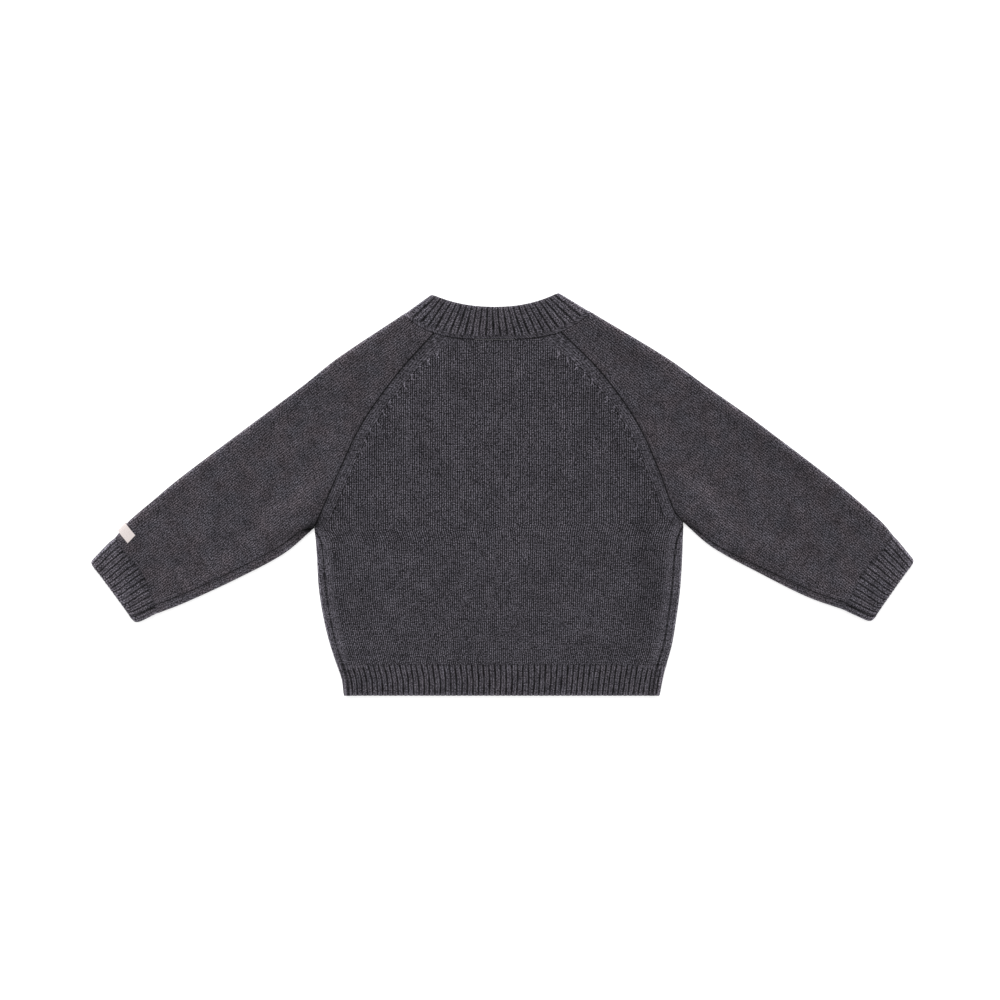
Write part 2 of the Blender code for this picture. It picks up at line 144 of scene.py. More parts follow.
RIGHT = Arm(
    name="right",
    crotch=(171.9, -26.4),
    back_raglan=[55.7, (94.4, 115.4), (127.4, 69.3), (148.5, 23.6), (162.3, -13.3)],
    front_raglan=[67.0, (99.0, 105.0), (129.5, 65.0), (149.5, 21.0), (162.5, -14.0)],
    top=[(84.5, 173.4), (153.6, 131.9), (193.5, 103.4), (236.7, 73.1),
         (309.4, 17.9), (337.0, -4.9), (360.7, -26.0), (371.2, -38.3)],
    under=[(171.9, -26.4), (201.0, -51.0), (242.8, -73.9), (288.4, -96.7), (323.9, -109.6)],
    cuff_top=(391.6, -62.8),
    cuff_under=(348.4, -121.5),
    roll=[(0.0, 0.0), (0.08, 2.8), (0.3, 4.2), (0.5, 5.4), (0.75, 6.8), (1.0, 7.0)],
    rib_line=[(0.0, 0.0), (0.18, 0.5), (0.38, 3.0), (0.54, 4.4), (0.78, 1.9), (1.0, 0.0)],
)
SHOULDER = 3
Label = namedtuple("Label", "fold along into width reach")
LABEL = Label((-361.9, -30.8), (-0.69, -0.724), (0.62, -0.785), 10.4, 15.0)
LABEL_GAP = 0.4
LABEL_FLAT = 24.0
LABEL_FADE = 24.0
print("outline rows below the arms:", len(SIDES))

# %% [markdown]
# ## Small helpers
#
# The shells have tens of thousands of points, so the helpers work on whole rows at once. A smooth
# line through a few points is a Catmull-Rom curve, read at equal shares of its length.


# %% Mixing, ramps and smooth lines
def mix(a, b, share):
    return a + (b - a) * share


def ramp(value, first, last):
    return np.clip((value - first) / (last - first), 0.0, 1.0)


def ease(value, first, last):
    share = ramp(value, first, last)
    return share * share * (3 - 2 * share)


def bump(distance, width):
    """1 on the line and fading to nothing at about twice this width from it."""
    return np.exp(-((distance / width) ** 2))


def within(value, rise, fall):
    """Rises from 0 to 1 between the first two values, and falls back between the last two."""
    return ease(value, *rise) * (1 - ease(value, *fall))


def unit(vector):
    vector = np.asarray(vector, float)
    return vector / np.linalg.norm(vector, axis=-1, keepdims=True)


def flat_points(points):
    return np.array(points, float).reshape(-1, 2)


CURVE_STEPS = 24  # from one given point of a curve to the next


def fine_line(points):
    points = flat_points(points)
    ends = np.vstack([2 * points[0] - points[1], points, 2 * points[-1] - points[-2]])
    t = np.linspace(0, 1, CURVE_STEPS, endpoint=False)[:, None]
    fine = []
    for a, b, c, d in zip(ends, ends[1:], ends[2:], ends[3:]):
        bends = (c - a) * t + (a * 2 - b * 5 + c * 4 - d) * t**2 + (b * 3 - a - c * 3 + d) * t**3
        fine.append(b + bends / 2)
    return np.vstack(fine + [points[-1:]])


def along(line, shares):
    """Points of a line at these shares of its length."""
    steps = np.linalg.norm(np.diff(line, axis=0), axis=1)
    lengths = np.concatenate([[0.0], np.cumsum(steps)])
    want = np.asarray(shares, float) * lengths[-1]
    return np.stack([np.interp(want, lengths, line[:, k]) for k in range(line.shape[1])], axis=-1)


def smooth_line(points, shares):
    return along(fine_line(points), shares)


def length_of(line):
    return float(np.linalg.norm(np.diff(line, axis=0), axis=1).sum())


def distance_to_line(points, line):
    best = np.full(len(points), np.inf)
    for a, b in zip(line, line[1:]):
        run = b - a
        share = np.clip((points - a) @ run / (run @ run), 0, 1)
        best = np.minimum(best, np.linalg.norm(points - a - share[:, None] * run, axis=1))
    return best


print("steps from one point of a curve to the next:", CURVE_STEPS)

# %% [markdown]
# ## The neck's edges
#
# Each edge of the neckband starts at a corner on the left fold, sags to its lowest point in the
# middle and climbs to the corner on the right fold. The front sags deeper than the back.


# %% Edges of the neck
def neck(edge, curve, x):
    x = np.asarray(x, float)
    side = np.where(x > NECK_MIDDLE, edge.right[0], edge.left[0])
    rise = np.where(x > NECK_MIDDLE, edge.right[1], edge.left[1]) - curve.lowest
    share = np.abs((x - NECK_MIDDLE) / (side - NECK_MIDDLE))
    return np.stack([x, curve.lowest + rise * share**curve.power], axis=-1)


def back_neck(edge, x):
    return neck(edge, edge.back, x)


def front_neck(edge, x):
    return neck(edge, edge.front, x)


def from_neck(points, distance):
    return points + unit(points - NECK_CENTRE) * distance


print("back neck, lowest:", SEAM_EDGE.back.lowest, "front neck, lowest:", SEAM_EDGE.front.lowest)

# %% [markdown]
# ## Creases
#
# A pullover on a table is never quite flat. The seams hold their edges up, and the cloth sinks
# beside them. Where a sleeve meets the body the cloth is pushed together, and soft ridges run down
# the sleeve from there. Cloth simulation would drape a whole garment well, but it would also move
# the seams, so here each crease is given one by one, with its own length, width and height.

# %% Where the creases lie
Crease = namedtuple("Crease", "points width height")
BACK_CREASES = [
    # the ridge along the lower half of the left sleeve, and what is left of it towards the cuff
    Crease([(-166, 16), (-188, 0), (-206, -13), (-222, -27), (-236, -42)], 9.0, 1.9),
    Crease([(-190, 10), (-198, 4), (-206, -4)], 9.0, 0.7),
    Crease([(-256, -60), (-271, -68), (-284, -74)], 7.5, 1.9),
    Crease([(-298, -82), (-316, -86), (-334, -92)], 9.0, 1.3),
    Crease([(-160, 40), (-166, 28), (-172, 14)], 9.0, 0.6),
    Crease([(-284, -10), (-288, -24), (-290, -34)], 10.0, 0.5),
    # and of the right one, fuller at the armpit
    Crease([(178, 4), (194, -4), (205, -14), (212, -26)], 10.5, 2.2),
    Crease([(170, 24), (178, 22), (186, 18)], 9.0, 0.9),
    Crease([(176, -2), (186, 4), (200, 12)], 11.0, 0.8),
    Crease([(208, -32), (230, -42), (254, -46), (276, -58)], 9.0, 1.3),
    Crease([(280, -64), (290, -72), (300, -77)], 8.0, 1.9),
    Crease([(306, -78), (322, -84), (336, -92)], 9.0, 1.6),
    # the valleys where each sleeve folds under at the armpit
    Crease([(-172, -26), (-182, -32), (-190, -36)], 6.5, -3.4),
    Crease([(-188, -38), (-206, -42), (-220, -50)], 6.0, -1.6),
    Crease([(166, -22), (176, -28), (190, -38)], 5.5, -2.0),
    Crease([(196, -48), (236, -62), (264, -76), (306, -97)], 6.5, -1.3),
    # the long hollow inside the right upper fold, and shorter ones on the left sleeve
    Crease(
        [(182, 88), (212, 68), (240, 52), (266, 34), (292, 13), (314, -14), (330, -32)], 9.0, -1.3
    ),
    Crease([(-186, 82), (-194, 74), (-200, 66)], 10.0, -0.7),
    Crease([(-228, 62), (-240, 38), (-252, 32)], 9.0, -0.7),
    Crease([(-204, 40), (-200, 24), (-206, 14)], 9.0, -0.7),
    Crease([(-228, 6), (-238, -6), (-246, -22), (-268, -46)], 11.0, -0.8),
    Crease([(-274, -6), (-270, -18), (-268, -30)], 8.0, -0.5),
    Crease([(-352, -56), (-348, -84), (-342, -106)], 9.0, -0.8),
    Crease([(-292, -66), (-286, -82), (-282, -90)], 6.0, -0.5),
    Crease([(222, 12), (230, 0), (232, -22)], 8.0, -0.7),
    Crease([(-108, 142), (-130, 112), (-150, 80)], 15.0, -0.5),
    Crease([(-165, 82), (-178, 56), (-190, 28)], 15.0, -0.6),
    Crease([(-106, 152), (-92, 146), (-74, 138)], 9.0, -0.5),
    Crease([(216, 66), (250, 40), (284, 14)], 14.0, -0.35),
    Crease([(98, 144), (130, 106), (152, 68)], 15.0, -0.7),
    Crease([(176, 70), (206, 40), (226, 14)], 15.0, -0.4),
    Crease([(180, 44), (186, 38), (192, 32)], 9.0, -0.6),
    Crease([(270, -28), (276, -36), (300, -50), (308, -58)], 7.0, -0.8),
    Crease([(346, -50), (356, -66), (362, -78)], 11.0, -0.5),
    Crease([(98, 150), (112, 134), (118, 130)], 9.0, -0.6),
    Crease([(138, 84), (142, 74), (146, 64)], 8.0, 0.7),
    # the body sinks beside its raglan and side seams, most of all on the right
    Crease([(54, 122), (74, 98), (92, 76), (112, 48), (124, 22)], 10.0, -1.2),
    Crease(
        [(128, 26), (136, 8), (138, -14), (134, -38), (140, -76), (133, -112), (127, -150)], 12.0, -1.7
    ),
    Crease([(-104, 64), (-126, 30), (-138, 8)], 9.0, -0.7),
    Crease([(-160, 4), (-148, -14), (-132, -22), (-126, -34)], 12.0, -1.0),
    Crease([(-154, -40), (-152, -64), (-150, -100)], 8.0, -0.8),
    # low waves and dimples on the body
    Crease([(-96, 140), (-84, 130), (-76, 122)], 9.0, -0.8),
    Crease([(-44, 102), (-36, 95), (-30, 90)], 10.0, -0.9),
    Crease([(-86, 44), (-78, 36), (-70, 28)], 9.0, -0.8),
    Crease([(-34, 126), (-22, 124), (-8, 128)], 8.0, -0.5),
    Crease([(30, 86), (38, 78), (48, 80)], 10.0, -0.4),
    Crease([(70, 10), (92, 14), (108, 12)], 8.0, -0.5),
    Crease([(64, -8), (74, -16), (80, -34)], 9.0, -0.4),
    Crease([(34, -76), (42, -88), (56, -98)], 8.0, -0.4),
    Crease([(-56, -74), (-46, -82), (-44, -96)], 7.0, -0.4),
    Crease([(-8, 66), (2, 63), (18, 50), (28, 36), (38, 14)], 6.5, 0.7),
    Crease([(10, 112), (20, 116), (30, 118)], 9.0, 0.6),
    Crease([(-50, 112), (-48, 122), (-44, 128)], 6.5, 0.6),
    Crease([(-96, 24), (-92, 16), (-86, 10)], 11.0, 0.5),
    Crease([(-128, -56), (-116, -68), (-104, -82)], 8.5, 1.1),
    Crease([(-92, -60), (-84, -63), (-74, -66)], 8.0, 0.6),
    Crease([(-48, -6), (-36, -34), (-8, -62), (20, -52), (52, -54)], 15.0, 0.5),
    Crease([(58, -104), (70, -112), (80, -118)], 12.0, 0.7),
    Crease([(-112, -104), (-84, -124), (-60, -150)], 11.0, 0.5),
    Crease([(-40, -112), (0, -124), (34, -140)], 14.0, 0.4),
    Crease([(62, 136), (68, 130), (74, 124)], 6.0, 1.0),
    # the neckband: round at its two ends, and pressed down in the middle
    Crease([(-92, 170), (-80, 174), (-64, 186)], 8.0, 1.0),
    Crease([(50, 186), (64, 178), (78, 172)], 8.0, 1.0),
    Crease([(-26, 161), (4, 158), (44, 160)], 8.0, -0.8),
]
print(len(BACK_CREASES), "creases on the back")

# %% [markdown]
# The front lies underneath, so its creases are flatter: the same kinds, each at about a third of
# the height, because the weight of the back presses them down.

# %% Creases of the front
FRONT_CREASES = [
    Crease([(-168, 14), (-196, -14), (-230, -42), (-276, -66)], 9.0, 0.45),
    Crease([(164, 12), (192, -12), (226, -38), (270, -62)], 9.0, 0.45),
    Crease([(-92, 84), (-120, 40), (-142, -20), (-146, -82)], 10.0, 0.4),
    Crease([(84, 88), (112, 44), (136, -16), (140, -90)], 10.0, 0.4),
    Crease([(-70, 52), (-18, 40), (46, 54)], 13.0, 0.4),
    Crease([(-96, -66), (-30, -78), (52, -62), (98, -74)], 14.0, 0.45),
    Crease([(-44, 4), (8, -6), (62, 8)], 10.0, 0.3),
    Crease([(-228, 44), (-246, 14), (-250, -20)], 9.0, 0.4),
    Crease([(236, 42), (248, 16), (250, -14)], 9.0, 0.4),
]


def creases_at(points, creases):
    """The height that the creases add. Each fades out towards its ends."""
    total = np.zeros(len(points))
    for crease in creases:
        line = smooth_line(crease.points, np.linspace(0, 1, 25))
        fade = np.sin(np.linspace(0.06, 0.94, len(line)) * math.pi) ** 0.6
        away = np.linalg.norm(points[:, None] - line[None], axis=2)
        nearest = away.argmin(axis=1)
        total += crease.height * bump(away.min(axis=1), crease.width) * fade[nearest]
    return total


print(len(FRONT_CREASES), "creases on the front")

# %% [markdown]
# Creases this low hardly shade the cloth when the light comes from all round. So the same creases
# are also painted into the wool's colour: painted shade in a valley and painted light on a ridge. At
# the armpits the valleys are deeper than two thin layers can show, so a second pair is added there,
# which is painted shade only.

# %% Painted light and shade on the creases
# painted shade only: these creases raise no cloth
ARMPIT_PAINTED_SHADE = [
    Crease([(-172, -23), (-180, -29), (-194, -37)], 6.0, -3.2),
    Crease([(168, -20), (175, -28), (188, -38)], 5.0, -2.8),
]
CREASE_PAINTED_LIGHT = 0.13  # how much painted light a millimetre of ridge adds to the colour


def painted_crease_light(cloth):
    """Painted light on the ridges and painted shade in the valleys, on the side that they are on."""
    plan = cloth.middle[..., :2].reshape(-1, 2)
    up = cloth.out[..., 2]
    total = np.zeros(up.shape)
    for creases, faces_them in ((BACK_CREASES + ARMPIT_PAINTED_SHADE, up > 0), (FRONT_CREASES, up < 0)):
        heights = creases_at(plan[faces_them.reshape(-1)], creases)
        total[faces_them] = CREASE_PAINTED_LIGHT * heights
    return total


SHORT_WAVES, LONG_WAVES = 0.13, 0.16  # their heights


def unevenness(points):
    """Slow waves of the hand-laid cloth, no two alike."""
    x, y = points.T
    waves = np.sin(x / 13.1 + 1.7 * np.sin(y / 31.0)) * np.sin(y / 17.3 + 1.1 * np.sin(x / 23.0))
    broad = np.sin(x / 37.0 + 0.6) * np.cos(y / 29.0 - 0.4)
    return SHORT_WAVES * waves + LONG_WAVES * broad


print("light for each millimetre of a ridge:", CREASE_PAINTED_LIGHT)

# %% [markdown]
# ## Heights and folds
#
# The front half lies on the table. The back half lies on the front, and a little air stays between
# them: more beside a fold, because knit resists a sharp bend. The woven tape under the left sleeve
# holds that edge off the table by its own thickness.


# %% The table of folds
def arm_folds(arm, side):
    yield fine_line(arm.top + [arm.cuff_top])
    yield fine_line(arm.under + [arm.cuff_under])
    yield fine_line([arm.crotch] + [(row[side], row.y) for row in SIDES])
    yield flat_points([getattr(edge, arm.name) for edge in (SEAM_EDGE, FREE_EDGE)])


LEFT_SIDE, RIGHT_SIDE = Side._fields.index("left"), Side._fields.index("right")
FOLDS = [*arm_folds(LEFT, LEFT_SIDE), *arm_folds(RIGHT, RIGHT_SIDE)]
FOLDS = [along(line, np.linspace(0, 1, 24)) for line in FOLDS]
UPPER_FOLDS = [smooth_line(arm.top + [arm.cuff_top], np.linspace(0, 1, 24)) for arm in (LEFT, RIGHT)]
print("folds that hold the cloth up:", len(FOLDS))

# %% Heights of the two layers
BACK_FREE = (2.0, 12.0)  # a fold holds the cloth beside it, so creases start this far in
FRONT_FREE = (4.0, 14.0)


def lift(points):
    centre = np.array(LABEL.fold) + np.array(LABEL.into) * LABEL.reach / 2
    away = np.linalg.norm(points - centre, axis=1)
    return (TAPE + LABEL_GAP) * (1 - ease(away, LABEL_FLAT, LABEL_FLAT + LABEL_FADE))


def fold_radius(wall):
    return (wall + FOLD_AIR) / 2


def fold_depth(wall):
    return fold_radius(wall) + wall / 2


def quarter(wall):
    return fold_radius(wall) * math.pi / 2


def spare(wall):
    """How much longer the cloth round a quarter of a fold is than that quarter's width in plan."""
    return quarter(wall) - fold_depth(wall)


def from_folds(points):
    return np.min([distance_to_line(points, line) for line in FOLDS], axis=0)


def from_upper_folds(cloth):
    plan = cloth.middle[..., :2].reshape(-1, 2)
    away = np.min([distance_to_line(plan, line) for line in UPPER_FOLDS], axis=0)
    return away.reshape(cloth.middle.shape[:2])


def back_height(points, wall):
    near = from_folds(points)
    air = mix(FOLD_AIR, AIR, ease(near, fold_depth(JERSEY), FOLD_REACH))
    free = ease(near, *BACK_FREE)
    moved = creases_at(points, BACK_CREASES) + unevenness(points)
    return 1.5 * wall + air + lift(points) + np.maximum(moved, DEEPEST) * free


def front_height(points, wall):
    free = ease(from_folds(points), *FRONT_FREE)
    return wall / 2 + lift(points) + creases_at(points, FRONT_CREASES) * free


print("height of the back in the middle:", round(float(back_height(np.zeros((1, 2)), JERSEY)[0]), 2))

# %% [markdown]
# A row of cloth is kept as three arrays: the middle of the wall, the direction out of it, and the
# same points on the flat pattern, with the wales running along its second axis. The pattern is
# what the stitches are counted on later.

# %% Rows of cloth
Row = namedtuple("Row", "middle out flat")


def as_rows(rows):
    return Row(*[np.array(part) for part in zip(*rows)])


def on_back(points, wall):
    middle = np.column_stack([points, back_height(points, wall)])
    return middle, np.tile([0.0, 0.0, 1.0], (len(points), 1))


def on_front(points, wall):
    middle = np.column_stack([points, front_height(points, wall)])
    return middle, np.tile([0.0, 0.0, -1.0], (len(points), 1))


def round_fold(tip, back_way, front_way, wall, path):
    """Points this length round a fold from its outermost line, towards the back if positive."""
    turned = path / fold_radius(wall)
    share = (0.5 - turned / math.pi)[:, None]
    way = unit(mix(unit(back_way), unit(front_way), share))
    out = np.column_stack([-way * np.cos(turned)[:, None], np.sin(turned)])
    raised = wall / 2 + fold_radius(wall) + lift(tip[None])[0]
    centre = np.column_stack([tip + way * fold_depth(wall), np.full(len(path), raised)])
    return centre + out * fold_radius(wall), out


def beside_fold(tip, way, wall, path):
    """Points this length along the cloth from a fold: over the back, or the front if negative."""
    turn = np.clip(path, -quarter(wall), quarter(wall))
    middle, out = round_fold(tip, way, way, wall, turn)
    past = np.abs(path) - quarter(wall)
    points = tip + way * (fold_depth(wall) + np.maximum(past, 0))[:, None]
    for face, chosen in ((on_back, path > quarter(wall)), (on_front, path < -quarter(wall))):
        if chosen.any():
            middle[chosen], out[chosen] = face(points[chosen], wall)
    return middle, out


def path_to(inset, wall):
    """The length along the cloth from a fold's outermost line to a seam this far in from it."""
    if inset >= fold_depth(wall):
        return inset + spare(wall)
    cosine = max((inset - fold_depth(wall)) / fold_radius(wall), -1.0)
    return fold_radius(wall) * (math.pi - math.acos(cosine))


def bridge(first, last, count):
    """Rows between two rows, where the wall turns from lying flat to standing in the fold."""
    rows = []
    for share in np.linspace(0, 1, count + 2)[1:-1]:
        out = unit(mix(first.out, last.out, share))
        rows.append(Row(mix(first.middle, last.middle, share), out, mix(first.flat, last.flat, share)))
    return rows


print("fold radius of the plain knit:", fold_radius(JERSEY), "and of the ribs:", fold_radius(RIBBING))

# %% [markdown]
# ## From rows to a shell
#
# Every piece is one closed shell: an outer face, an inner face and a rim round all free edges. The
# outer face carries the relief, and both faces draw together at a free edge, as knit rolls over
# there. Three things go with the mesh for the shader. A UV map named `stitches` counts wales and
# courses. One named `seams` says how far a point lies past the band of wales beside a seam, and
# counts the fashioning marks along it. A point attribute holds painted shade: how much light a sunk
# point loses from its colour. It is negative where a painted highlight, the fuzz catching light,
# makes the wool paler round the folds and edges.

# %% Free edges
ROUNDING = 0.6  # how far in from a free edge the wall has its full thickness
THINNEST = 0.22  # what is left of it at the very edge
IN_FOLD = 0.35  # a wall that stands in a fold draws together by this share of that only


def rounded(distance, reach=ROUNDING):
    """The share of the wall's thickness at this distance from a free edge."""
    inside = 1 - np.clip(distance / reach, 0, 1)
    return np.maximum(np.sqrt(1 - inside**2), THINNEST)


def border_of(count_rows, count_columns, ring):
    """Index pairs round the free edges of a grid."""
    columns = np.arange(count_columns if ring else count_columns - 1)
    first = [((0, c + 1), (0, c)) for c in columns]
    last = [((count_rows - 1, c), (count_rows - 1, c + 1)) for c in columns]
    sides = []
    if not ring:
        for r in range(count_rows - 1):
            sides.append(((r, 0), (r + 1, 0)))
            sides.append(((r + 1, count_columns - 1), (r, count_columns - 1)))
    return np.array(first + last + sides)


print("share of the wall left at a free edge:", THINNEST)

# %% [markdown]
# Fine wool has a nap: short fibres that stand off the yarn, which catch the light round a fold.
# Hair particles could make them, but they would be millions. Instead a value for each point of the
# mesh paints that highlight into the wool's colour, more on the folds that face the light.

# %% Where the painted sheen goes
FOLD_PAINTED_SHEEN = (1.5, 2.3)  # painted highlight on a lower and an upper fold
LOWER_TO_UPPER = (-0.6, 0.2)  # where the one turns into the other, by the fold's way out
FOLD_SHEEN_BELOW = 0.15  # how much of that is left where the fold turns under
UNDER_TO_OVER = (0.0, 0.45)
FROM_ARMPIT = (2.0, 16.0)  # the armpits are in the shade
UPPER_PAINTED_SHEEN = 0.32  # painted highlight also beside a sleeve's upper fold
UPPER_SHEEN_REACH = (2.6, 10.0)
FREE_EDGE_PAINTED_SHEEN = 0.7  # and along a free edge
FREE_EDGE_SHEEN_REACH = 2.0


def painted_sheen(cloth):
    """Painted highlight round the folds and beside the sleeves' upper ones."""
    facing = np.abs(cloth.out[..., 2])
    fuzz = mix(*FOLD_PAINTED_SHEEN, ease(cloth.out[..., 1], *LOWER_TO_UPPER)) * (1 - facing) ** 0.6
    fuzz *= mix(FOLD_SHEEN_BELOW, 1.0, ease(cloth.out[..., 2], *UNDER_TO_OVER))
    for arm in (LEFT, RIGHT):
        from_armpit = np.linalg.norm(cloth.middle[..., :2] - np.array(arm.crotch), axis=-1)
        fuzz *= ease(from_armpit, *FROM_ARMPIT)
    beside = 1 - ease(from_upper_folds(cloth), *UPPER_SHEEN_REACH)
    return fuzz + UPPER_PAINTED_SHEEN * beside * (cloth.out[..., 2] > 0)


print("nap on a lower and an upper fold:", FOLD_PAINTED_SHEEN)

# %% Building one shell
SHARP_FROM = math.radians(62)
NO_MARKS = (99.0, -9.0)  # far past any band, and before the first mark
Patch = namedtuple("Patch", "rows columns values")  # of a map


def everywhere(values):
    return Patch(slice(None), slice(None), values)


def shell(
    name, cloth, wall, relief, edge, patches, finish,
    ring=False, inner_share=0.0, painted_shade=None, beside=None,
):
    """The piece's closed mesh. On a ring the last column of the arrays repeats the first."""
    count_rows, count_columns = cloth.middle.shape[:2]
    used = count_columns - 1 if ring else count_columns
    facing = np.abs(cloth.out[..., 2])
    half = (wall / 2 * mix(mix(1.0, edge, IN_FOLD), edge, facing))[..., None]
    outer = cloth.middle + cloth.out * (half + relief[..., None])
    inner = cloth.middle - cloth.out * (half + inner_share * relief[..., None])
    points = np.concatenate([outer[:, :used].reshape(-1, 3), inner[:, :used].reshape(-1, 3)]) * MM

    r, c = np.mgrid[0:count_rows - 1, 0:count_columns - 1]
    corner_rows = np.stack([r, r, r + 1, r + 1], axis=-1).reshape(-1, 4)
    corner_columns = np.stack([c, c + 1, c + 1, c], axis=-1).reshape(-1, 4)
    quads = corner_rows * used + corner_columns % used
    inner_start = count_rows * used
    border = border_of(count_rows, used, ring)
    pairs = border[..., 0] * used + border[..., 1] % used
    rims = np.column_stack([pairs, pairs[:, ::-1] + inner_start])
    faces = np.concatenate([quads, quads[:, ::-1] + inner_start, rims])

    def corner_values(patches):
        """The values of a map at every corner of every face, later patches over earlier ones."""
        values = np.zeros((count_rows - 1, count_columns - 1, 4, 2))
        for patch in patches:
            grid = patch.values[corner_rows, corner_columns].reshape(values.shape)
            values[patch.rows, patch.columns] = grid[patch.rows, patch.columns]
        values = values.reshape(-1, 4, 2)
        rim = patches[0].values[border[..., 0], np.minimum(border[..., 1], count_columns - 1)]
        rim = np.concatenate([rim, rim[:, ::-1]], axis=1)
        return np.concatenate([values, values[:, ::-1], rim])

    if beside is None:
        beside = np.broadcast_to(NO_MARKS, cloth.flat.shape)
    maps = {"stitches": corner_values(patches)}
    maps["seams"] = corner_values([everywhere(beside)])
    corners = points[faces]
    volume = np.einsum("ij,ij->", corners[:, 0], np.cross(corners[:, 1], corners[:, 2]))
    volume += np.einsum("ij,ij->", corners[:, 0], np.cross(corners[:, 2], corners[:, 3]))
    if volume < 0:
        faces = faces[:, ::-1]
        maps = {label: values[:, ::-1] for label, values in maps.items()}

    mesh = bpy.data.meshes.new(name)
    mesh.from_pydata(points.tolist(), [], faces.tolist())
    for label, values in maps.items():
        layer = mesh.uv_layers.new(name=label)
        layer.uv.foreach_set("vector", values.reshape(-1).astype(np.float32))
    # painted shade, less the painted highlight round the folds, plus painted light and shade from the
    # creases
    sunk = (0.0 if painted_shade is None else painted_shade) - painted_sheen(cloth) - painted_crease_light(cloth)
    sunk = sunk[:, :used].reshape(-1)
    sunk = np.concatenate([sunk, np.maximum(sunk, 0)])  # the inside gets painted shade but no painted highlight
    mesh.attributes.new("painted_shade", "FLOAT", "POINT").data.foreach_set("value", sunk.astype(np.float32))
    mesh.shade_smooth()
    mesh.set_sharp_from_angle(angle=SHARP_FROM)
    made = bpy.data.objects.new(name, mesh)
    made.data.materials.append(finish)
    bpy.context.scene.collection.objects.link(made)
    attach(made, "root")
    triangles = sum(len(face.vertices) - 2 for face in mesh.polygons)
    print(f"{name}: {triangles} triangles")
    return made


def cut_area(cloth):
    """The area of the middle of the wall in square metres: what was knitted."""
    a, b = cloth.middle[:-1, :-1], cloth.middle[1:, :-1]
    c, d = cloth.middle[1:, 1:], cloth.middle[:-1, 1:]
    return float(np.linalg.norm(np.cross(c - a, d - b), axis=-1).sum() / 2 * MM * MM)


print("edges sharper than this stay sharp, in degrees:", round(math.degrees(SHARP_FROM)))

# %% [markdown]
# ## A shader that counts stitches
#
# Plain knit is a lattice of small V shapes: one column of them is a wale, one row is a course. The
# mesh is too coarse to hold every loop, so a node group draws them from the `stitches` map: where
# a point lies in its wale and its course gives the height of the yarn, the gap between two legs,
# which the wool paints with shade, and a random number for each leg, which makes the marled yarn
# speckled.


# %% Wiring nodes
class Wiring:
    """A node tree under construction. Each call adds one node and gives its output."""

    def __init__(self, tree):
        self.tree = tree

    def add(self, kind, **settings):
        node = self.tree.nodes.new(kind)
        for key, value in settings.items():
            setattr(node, key, value)
        return node

    def feed(self, socket, value):
        if isinstance(value, bpy.types.NodeSocket):
            self.tree.links.new(value, socket)
        else:
            socket.default_value = value

    def math(self, operation, *values, clamp=False):
        node = self.add("ShaderNodeMath", operation=operation, use_clamp=clamp)
        for socket, value in zip(node.inputs, values):
            self.feed(socket, value)
        return node.outputs[0]

    def times(self, *values, clamp=False):
        return self.math("MULTIPLY", *values, clamp=clamp)

    def plus(self, *values):
        return self.math("ADD", *values)

    def less(self, *values, clamp=False):
        return self.math("SUBTRACT", *values, clamp=clamp)

    def scaled(self, value, factor, offset, clamp=False):
        return self.math("MULTIPLY_ADD", value, factor, offset, clamp=clamp)

    def vector(self, x, y, z=0.0):
        node = self.add("ShaderNodeCombineXYZ")
        for socket, value in zip(node.inputs, (x, y, z)):
            self.feed(socket, value)
        return node.outputs[0]

    def split(self, vector):
        node = self.add("ShaderNodeSeparateXYZ")
        self.feed(node.inputs[0], vector)
        return node.outputs[0], node.outputs[1]

    def blend(self, share, a, b, kind="MIX"):
        node = self.add("ShaderNodeMix", data_type="RGBA", blend_type=kind)
        self.feed(node.inputs[0], share)
        self.feed(node.inputs[6], a)
        self.feed(node.inputs[7], b)
        return node.outputs[2]

    def noise(self, vector, scale, detail=2.0, rough=0.5):
        node = self.add("ShaderNodeTexNoise", noise_dimensions="3D")
        self.feed(node.inputs["Vector"], vector)
        node.inputs["Scale"].default_value = scale
        node.inputs["Detail"].default_value = detail
        node.inputs["Roughness"].default_value = rough
        return node.outputs[0]

    def bump(self, shader, height, strength, distance):
        raised = self.add("ShaderNodeBump")
        raised.inputs["Strength"].default_value = strength
        raised.inputs["Distance"].default_value = distance * MM
        self.feed(raised.inputs["Height"], height)
        self.feed(shader.inputs["Normal"], raised.outputs["Normal"])

    def group(self, tree, **values):
        node = self.add("ShaderNodeGroup", node_tree=tree)
        for key, value in values.items():
            self.feed(node.inputs[key], value)
        return node


def new_group(name, inputs, outputs):
    tree = bpy.data.node_groups.new(name, "ShaderNodeTree")
    for label, kind, value in inputs:
        socket = tree.interface.new_socket(label, in_out="INPUT", socket_type=kind)
        if value is not None:
            socket.default_value = value
    for label, kind in outputs:
        tree.interface.new_socket(label, in_out="OUTPUT", socket_type=kind)
    wires = Wiring(tree)
    return tree, wires, wires.add("NodeGroupInput"), wires.add("NodeGroupOutput")


# %% [markdown]
# The legs of a V start together at the middle of the wale and climb outwards. So the course that a
# point belongs to is its own height less a climb that grows with the distance from the middle.


# %% The stitch group
CLIMB = 0.3  # how far a leg climbs, in courses
WANDER = 0.6  # how far a wale strays from its line, in wales
LEG_WIDTH = 3.6  # a higher number makes the yarn fuller and the gap between wales narrower
KNUCKLE = (0.8, 0.85, 0.2)  # how round a loop is, how high, and how high at its foot
GAP_SHARP = 1.15


